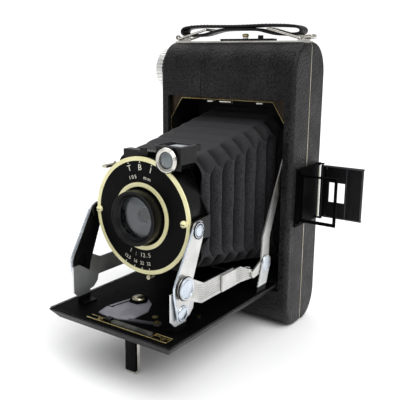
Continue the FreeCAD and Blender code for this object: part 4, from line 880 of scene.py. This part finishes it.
class CAMERA_OT_bed(bpy.types.Operator):
    """Add the plates and lines on the bed, the washer and nut of the tripod bush, and the leg's panel"""
    bl_idname = "folding_camera.bed"
    bl_label = "Bed detail"

    def execute(self, context):
        def panel(bm):
            brick(bm, 1.3, 7.7, -101.65, -101.2, 1.6, 21.0, 0.35, 3)
        place(panel, "leg_panel", "dial_enamel", "leg")

        top = BED_TOP + 0.6

        def gold(bm):
            for y in (-110.7, -107.4):
                wire(bm, [(-14.0, y, top), (33.5, y, top)], 0.22, sides=6)
            square = [(24.6, -110.7), (33.5, -110.7), (33.5, -106.0), (24.6, -106.0)]
            wire(bm, [(x, y, top) for x, y in square], 0.25, closed=True, sides=6)
        place(gold, "front_plate_edge", "brass", "bed")

        def sandy(bm):
            brick(bm, 0.6, 24.0, -110.3, -107.8, BED_TOP, top + 1.5, 0.5, 3)
        place(sandy, "front_plate_strip", "sand_cast", "bed")

        def corner(bm):
            outline = [(-15.0, -95.7), (-13.4, -103.6), (-4.6, -105.4), (5.0, -101.5), (5.4, -89.0),
                       (1.0, -81.0), (-6.5, -75.4), (-11.0, -77.0)]
            slab(bm, [(x, y, BED_TOP + 0.02) for x, y in outline], (0, 0, 0.7))
            rims = [e for e in bm.edges if min(v.co.z for v in e.verts) > BED_TOP + 0.5]
            bmesh.ops.bevel(bm, geom=rims, offset=0.25, offset_type="OFFSET", segments=2, profile=0.5,
                            affect="EDGES", material=-1)
        place(corner, "corner_plate", "plate_grey", "bed")

        # The groove is a black wire on the plate: painted shade in the groove.
        def groove(bm):
            wire(bm, [(-12.6, -96.0, 28.25), (-8.4, -76.8, 28.25)], 0.32, sides=8)
            wire(bm, [(-15.0, -95.9, 28.2), (-11.4, -95.2, 28.3)], 0.3, sides=8)
        place(groove, "corner_plate_groove", "bed_black", "bed")

        def washer(bm):
            turned(bm, [(0.0, 29.6), (4.4, 29.6), (5.0, 29.2), (5.0, 27.6)], TRIPOD_BUSH, "Z", 6)
        place(washer, "bush_washer", "bed_black", "bed")

        def nut(bm):
            dome = [(0.0, 31.0), (1.8, 30.9), (3.0, 30.3), (3.2, 29.9), (3.4, 29.5)]
            turned(bm, dome, TRIPOD_BUSH, "Z", 28)
        place(nut, "bush_nut", "aged_nickel", "bed")

        def edge_line(bm):
            edge = [(37.25, -30.0), (37.25, -112.6), (-37.25, -112.6), (-37.25, -30.0)]
            wire(bm, [(x, y, BED_TOP + 0.1) for x, y in edge], 0.22, sides=6)
        place(edge_line, "bed_edge_line", "black_enamel", "bed")
        return {"FINISHED"}


class CAMERA_OT_stage(bpy.types.Operator):
    """Set the pale table, the soft lights and the view"""
    bl_idname = "folding_camera.stage"
    bl_label = "Stage"

    def execute(self, context):
        scene = context.scene
        settings = scene.camera_stage
        material, tree, shader = blank("matt_white_table")
        soft = pattern(tree, NOISE, 60.0, sockets={"Detail": 2.0}).outputs[0]
        paint = {SHARE: soft, FIRST: linear(settings.floor), SECOND: linear("#f7f7f8")}
        gloss = add(tree, RANGE, {VALUE: soft, LOW: 0.0, HIGH: 1.0, START: 0.55, STOP: 0.6}).outputs[0]
        set_shader(tree, shader, add(tree, MIXER, paint, data_type="RGBA").outputs[MIXED], gloss, [],
                   specular=0.3)
        bm = bmesh.new()
        bmesh.ops.create_grid(bm, x_segments=1, y_segments=1, size=60.0)
        mesh = bpy.data.meshes.new("table")
        bm.to_mesh(mesh)
        bm.free()
        table = bpy.data.objects.new("table", mesh)
        table.data.materials.append(material)
        scene.collection.objects.link(table)

        world = bpy.data.worlds.new("soft_room")
        world.use_nodes = True
        sky = world.node_tree
        seen = add(sky, "ShaderNodeLightPath").outputs["Is Camera Ray"]
        # The lens sees the room a little brighter than white, so the table has no far edge.
        level = add(sky, RANGE, {VALUE: seen, START: settings.room_light, STOP: 1.1}).outputs[0]
        sky.nodes["Background"].inputs["Color"].default_value = linear("#ffffff")
        sky.links.new(level, sky.nodes["Background"].inputs["Strength"])
        scene.world = world
        for name, power, soft, direction in (("key", settings.key_power, 50, (0.75, -0.25, 1.0)),
                                             ("top", settings.top_power, 70, (-0.3, 0.25, 1.0))):
            light = bpy.data.lights.new(name, "SUN")
            light.energy = power
            light.angle = math.radians(soft)
            lamp = bpy.data.objects.new(name, light)
            lamp.rotation_euler = Vector(direction).to_track_quat("Z", "Y").to_euler()
            scene.collection.objects.link(lamp)

        view = bpy.data.cameras.new("view")
        view.lens = settings.lens
        view.sensor_width = 36.0
        view.clip_start = 0.01
        camera = bpy.data.objects.new("view", view)
        forward = Vector((-0.5582, 0.7972, -0.23)).normalized()
        up = Vector((-0.1382, 0.184, 0.9732))
        right = forward.cross(up).normalized()
        up = right.cross(forward)
        turn = Matrix((right, up, -forward)).transposed().to_4x4()
        camera.matrix_world = Matrix.Translation(Vector((184.19, -301.33, 148.9)) * MM) @ turn
        scene.collection.objects.link(camera)
        scene.camera = camera
        scene.view_settings.view_transform = "Standard"
        return {"FINISHED"}


class CAMERA_PT_panel(bpy.types.Panel):
    bl_label = "Folding camera"
    bl_idname = "CAMERA_PT_folding"
    bl_space_type = "VIEW_3D"
    bl_region_type = "UI"
    bl_category = "Folding camera"

    def draw(self, context):
        for settings in (context.scene.camera_stage, context.scene.camera_bellows):
            for name in settings.__annotations__:
                self.layout.prop(settings, name)
        for operator in OPERATORS:
            self.layout.operator(operator.bl_idname)


SETTINGS = (CameraStageSettings, CameraBellowsSettings)
OPERATORS = (CAMERA_OT_finishes, CAMERA_OT_bellows, CAMERA_OT_strap, CAMERA_OT_body_trim, CAMERA_OT_dial,
             CAMERA_OT_lens, CAMERA_OT_struts, CAMERA_OT_finders, CAMERA_OT_bed, CAMERA_OT_stage)


def register():
    for cls in SETTINGS + OPERATORS + (CAMERA_PT_panel,):
        bpy.utils.register_class(cls)
    bpy.types.Scene.camera_stage = bpy.props.PointerProperty(type=CameraStageSettings)
    bpy.types.Scene.camera_bellows = bpy.props.PointerProperty(type=CameraBellowsSettings)


def unregister():
    del bpy.types.Scene.camera_bellows
    del bpy.types.Scene.camera_stage
    for cls in reversed(SETTINGS + OPERATORS + (CAMERA_PT_panel,)):
        bpy.utils.unregister_class(cls)


def main():
    register()
    for operator in OPERATORS:
        group, name = operator.bl_idname.split(".")
        getattr(getattr(bpy.ops, group), name)()


if __name__ == "__main__":
    main()
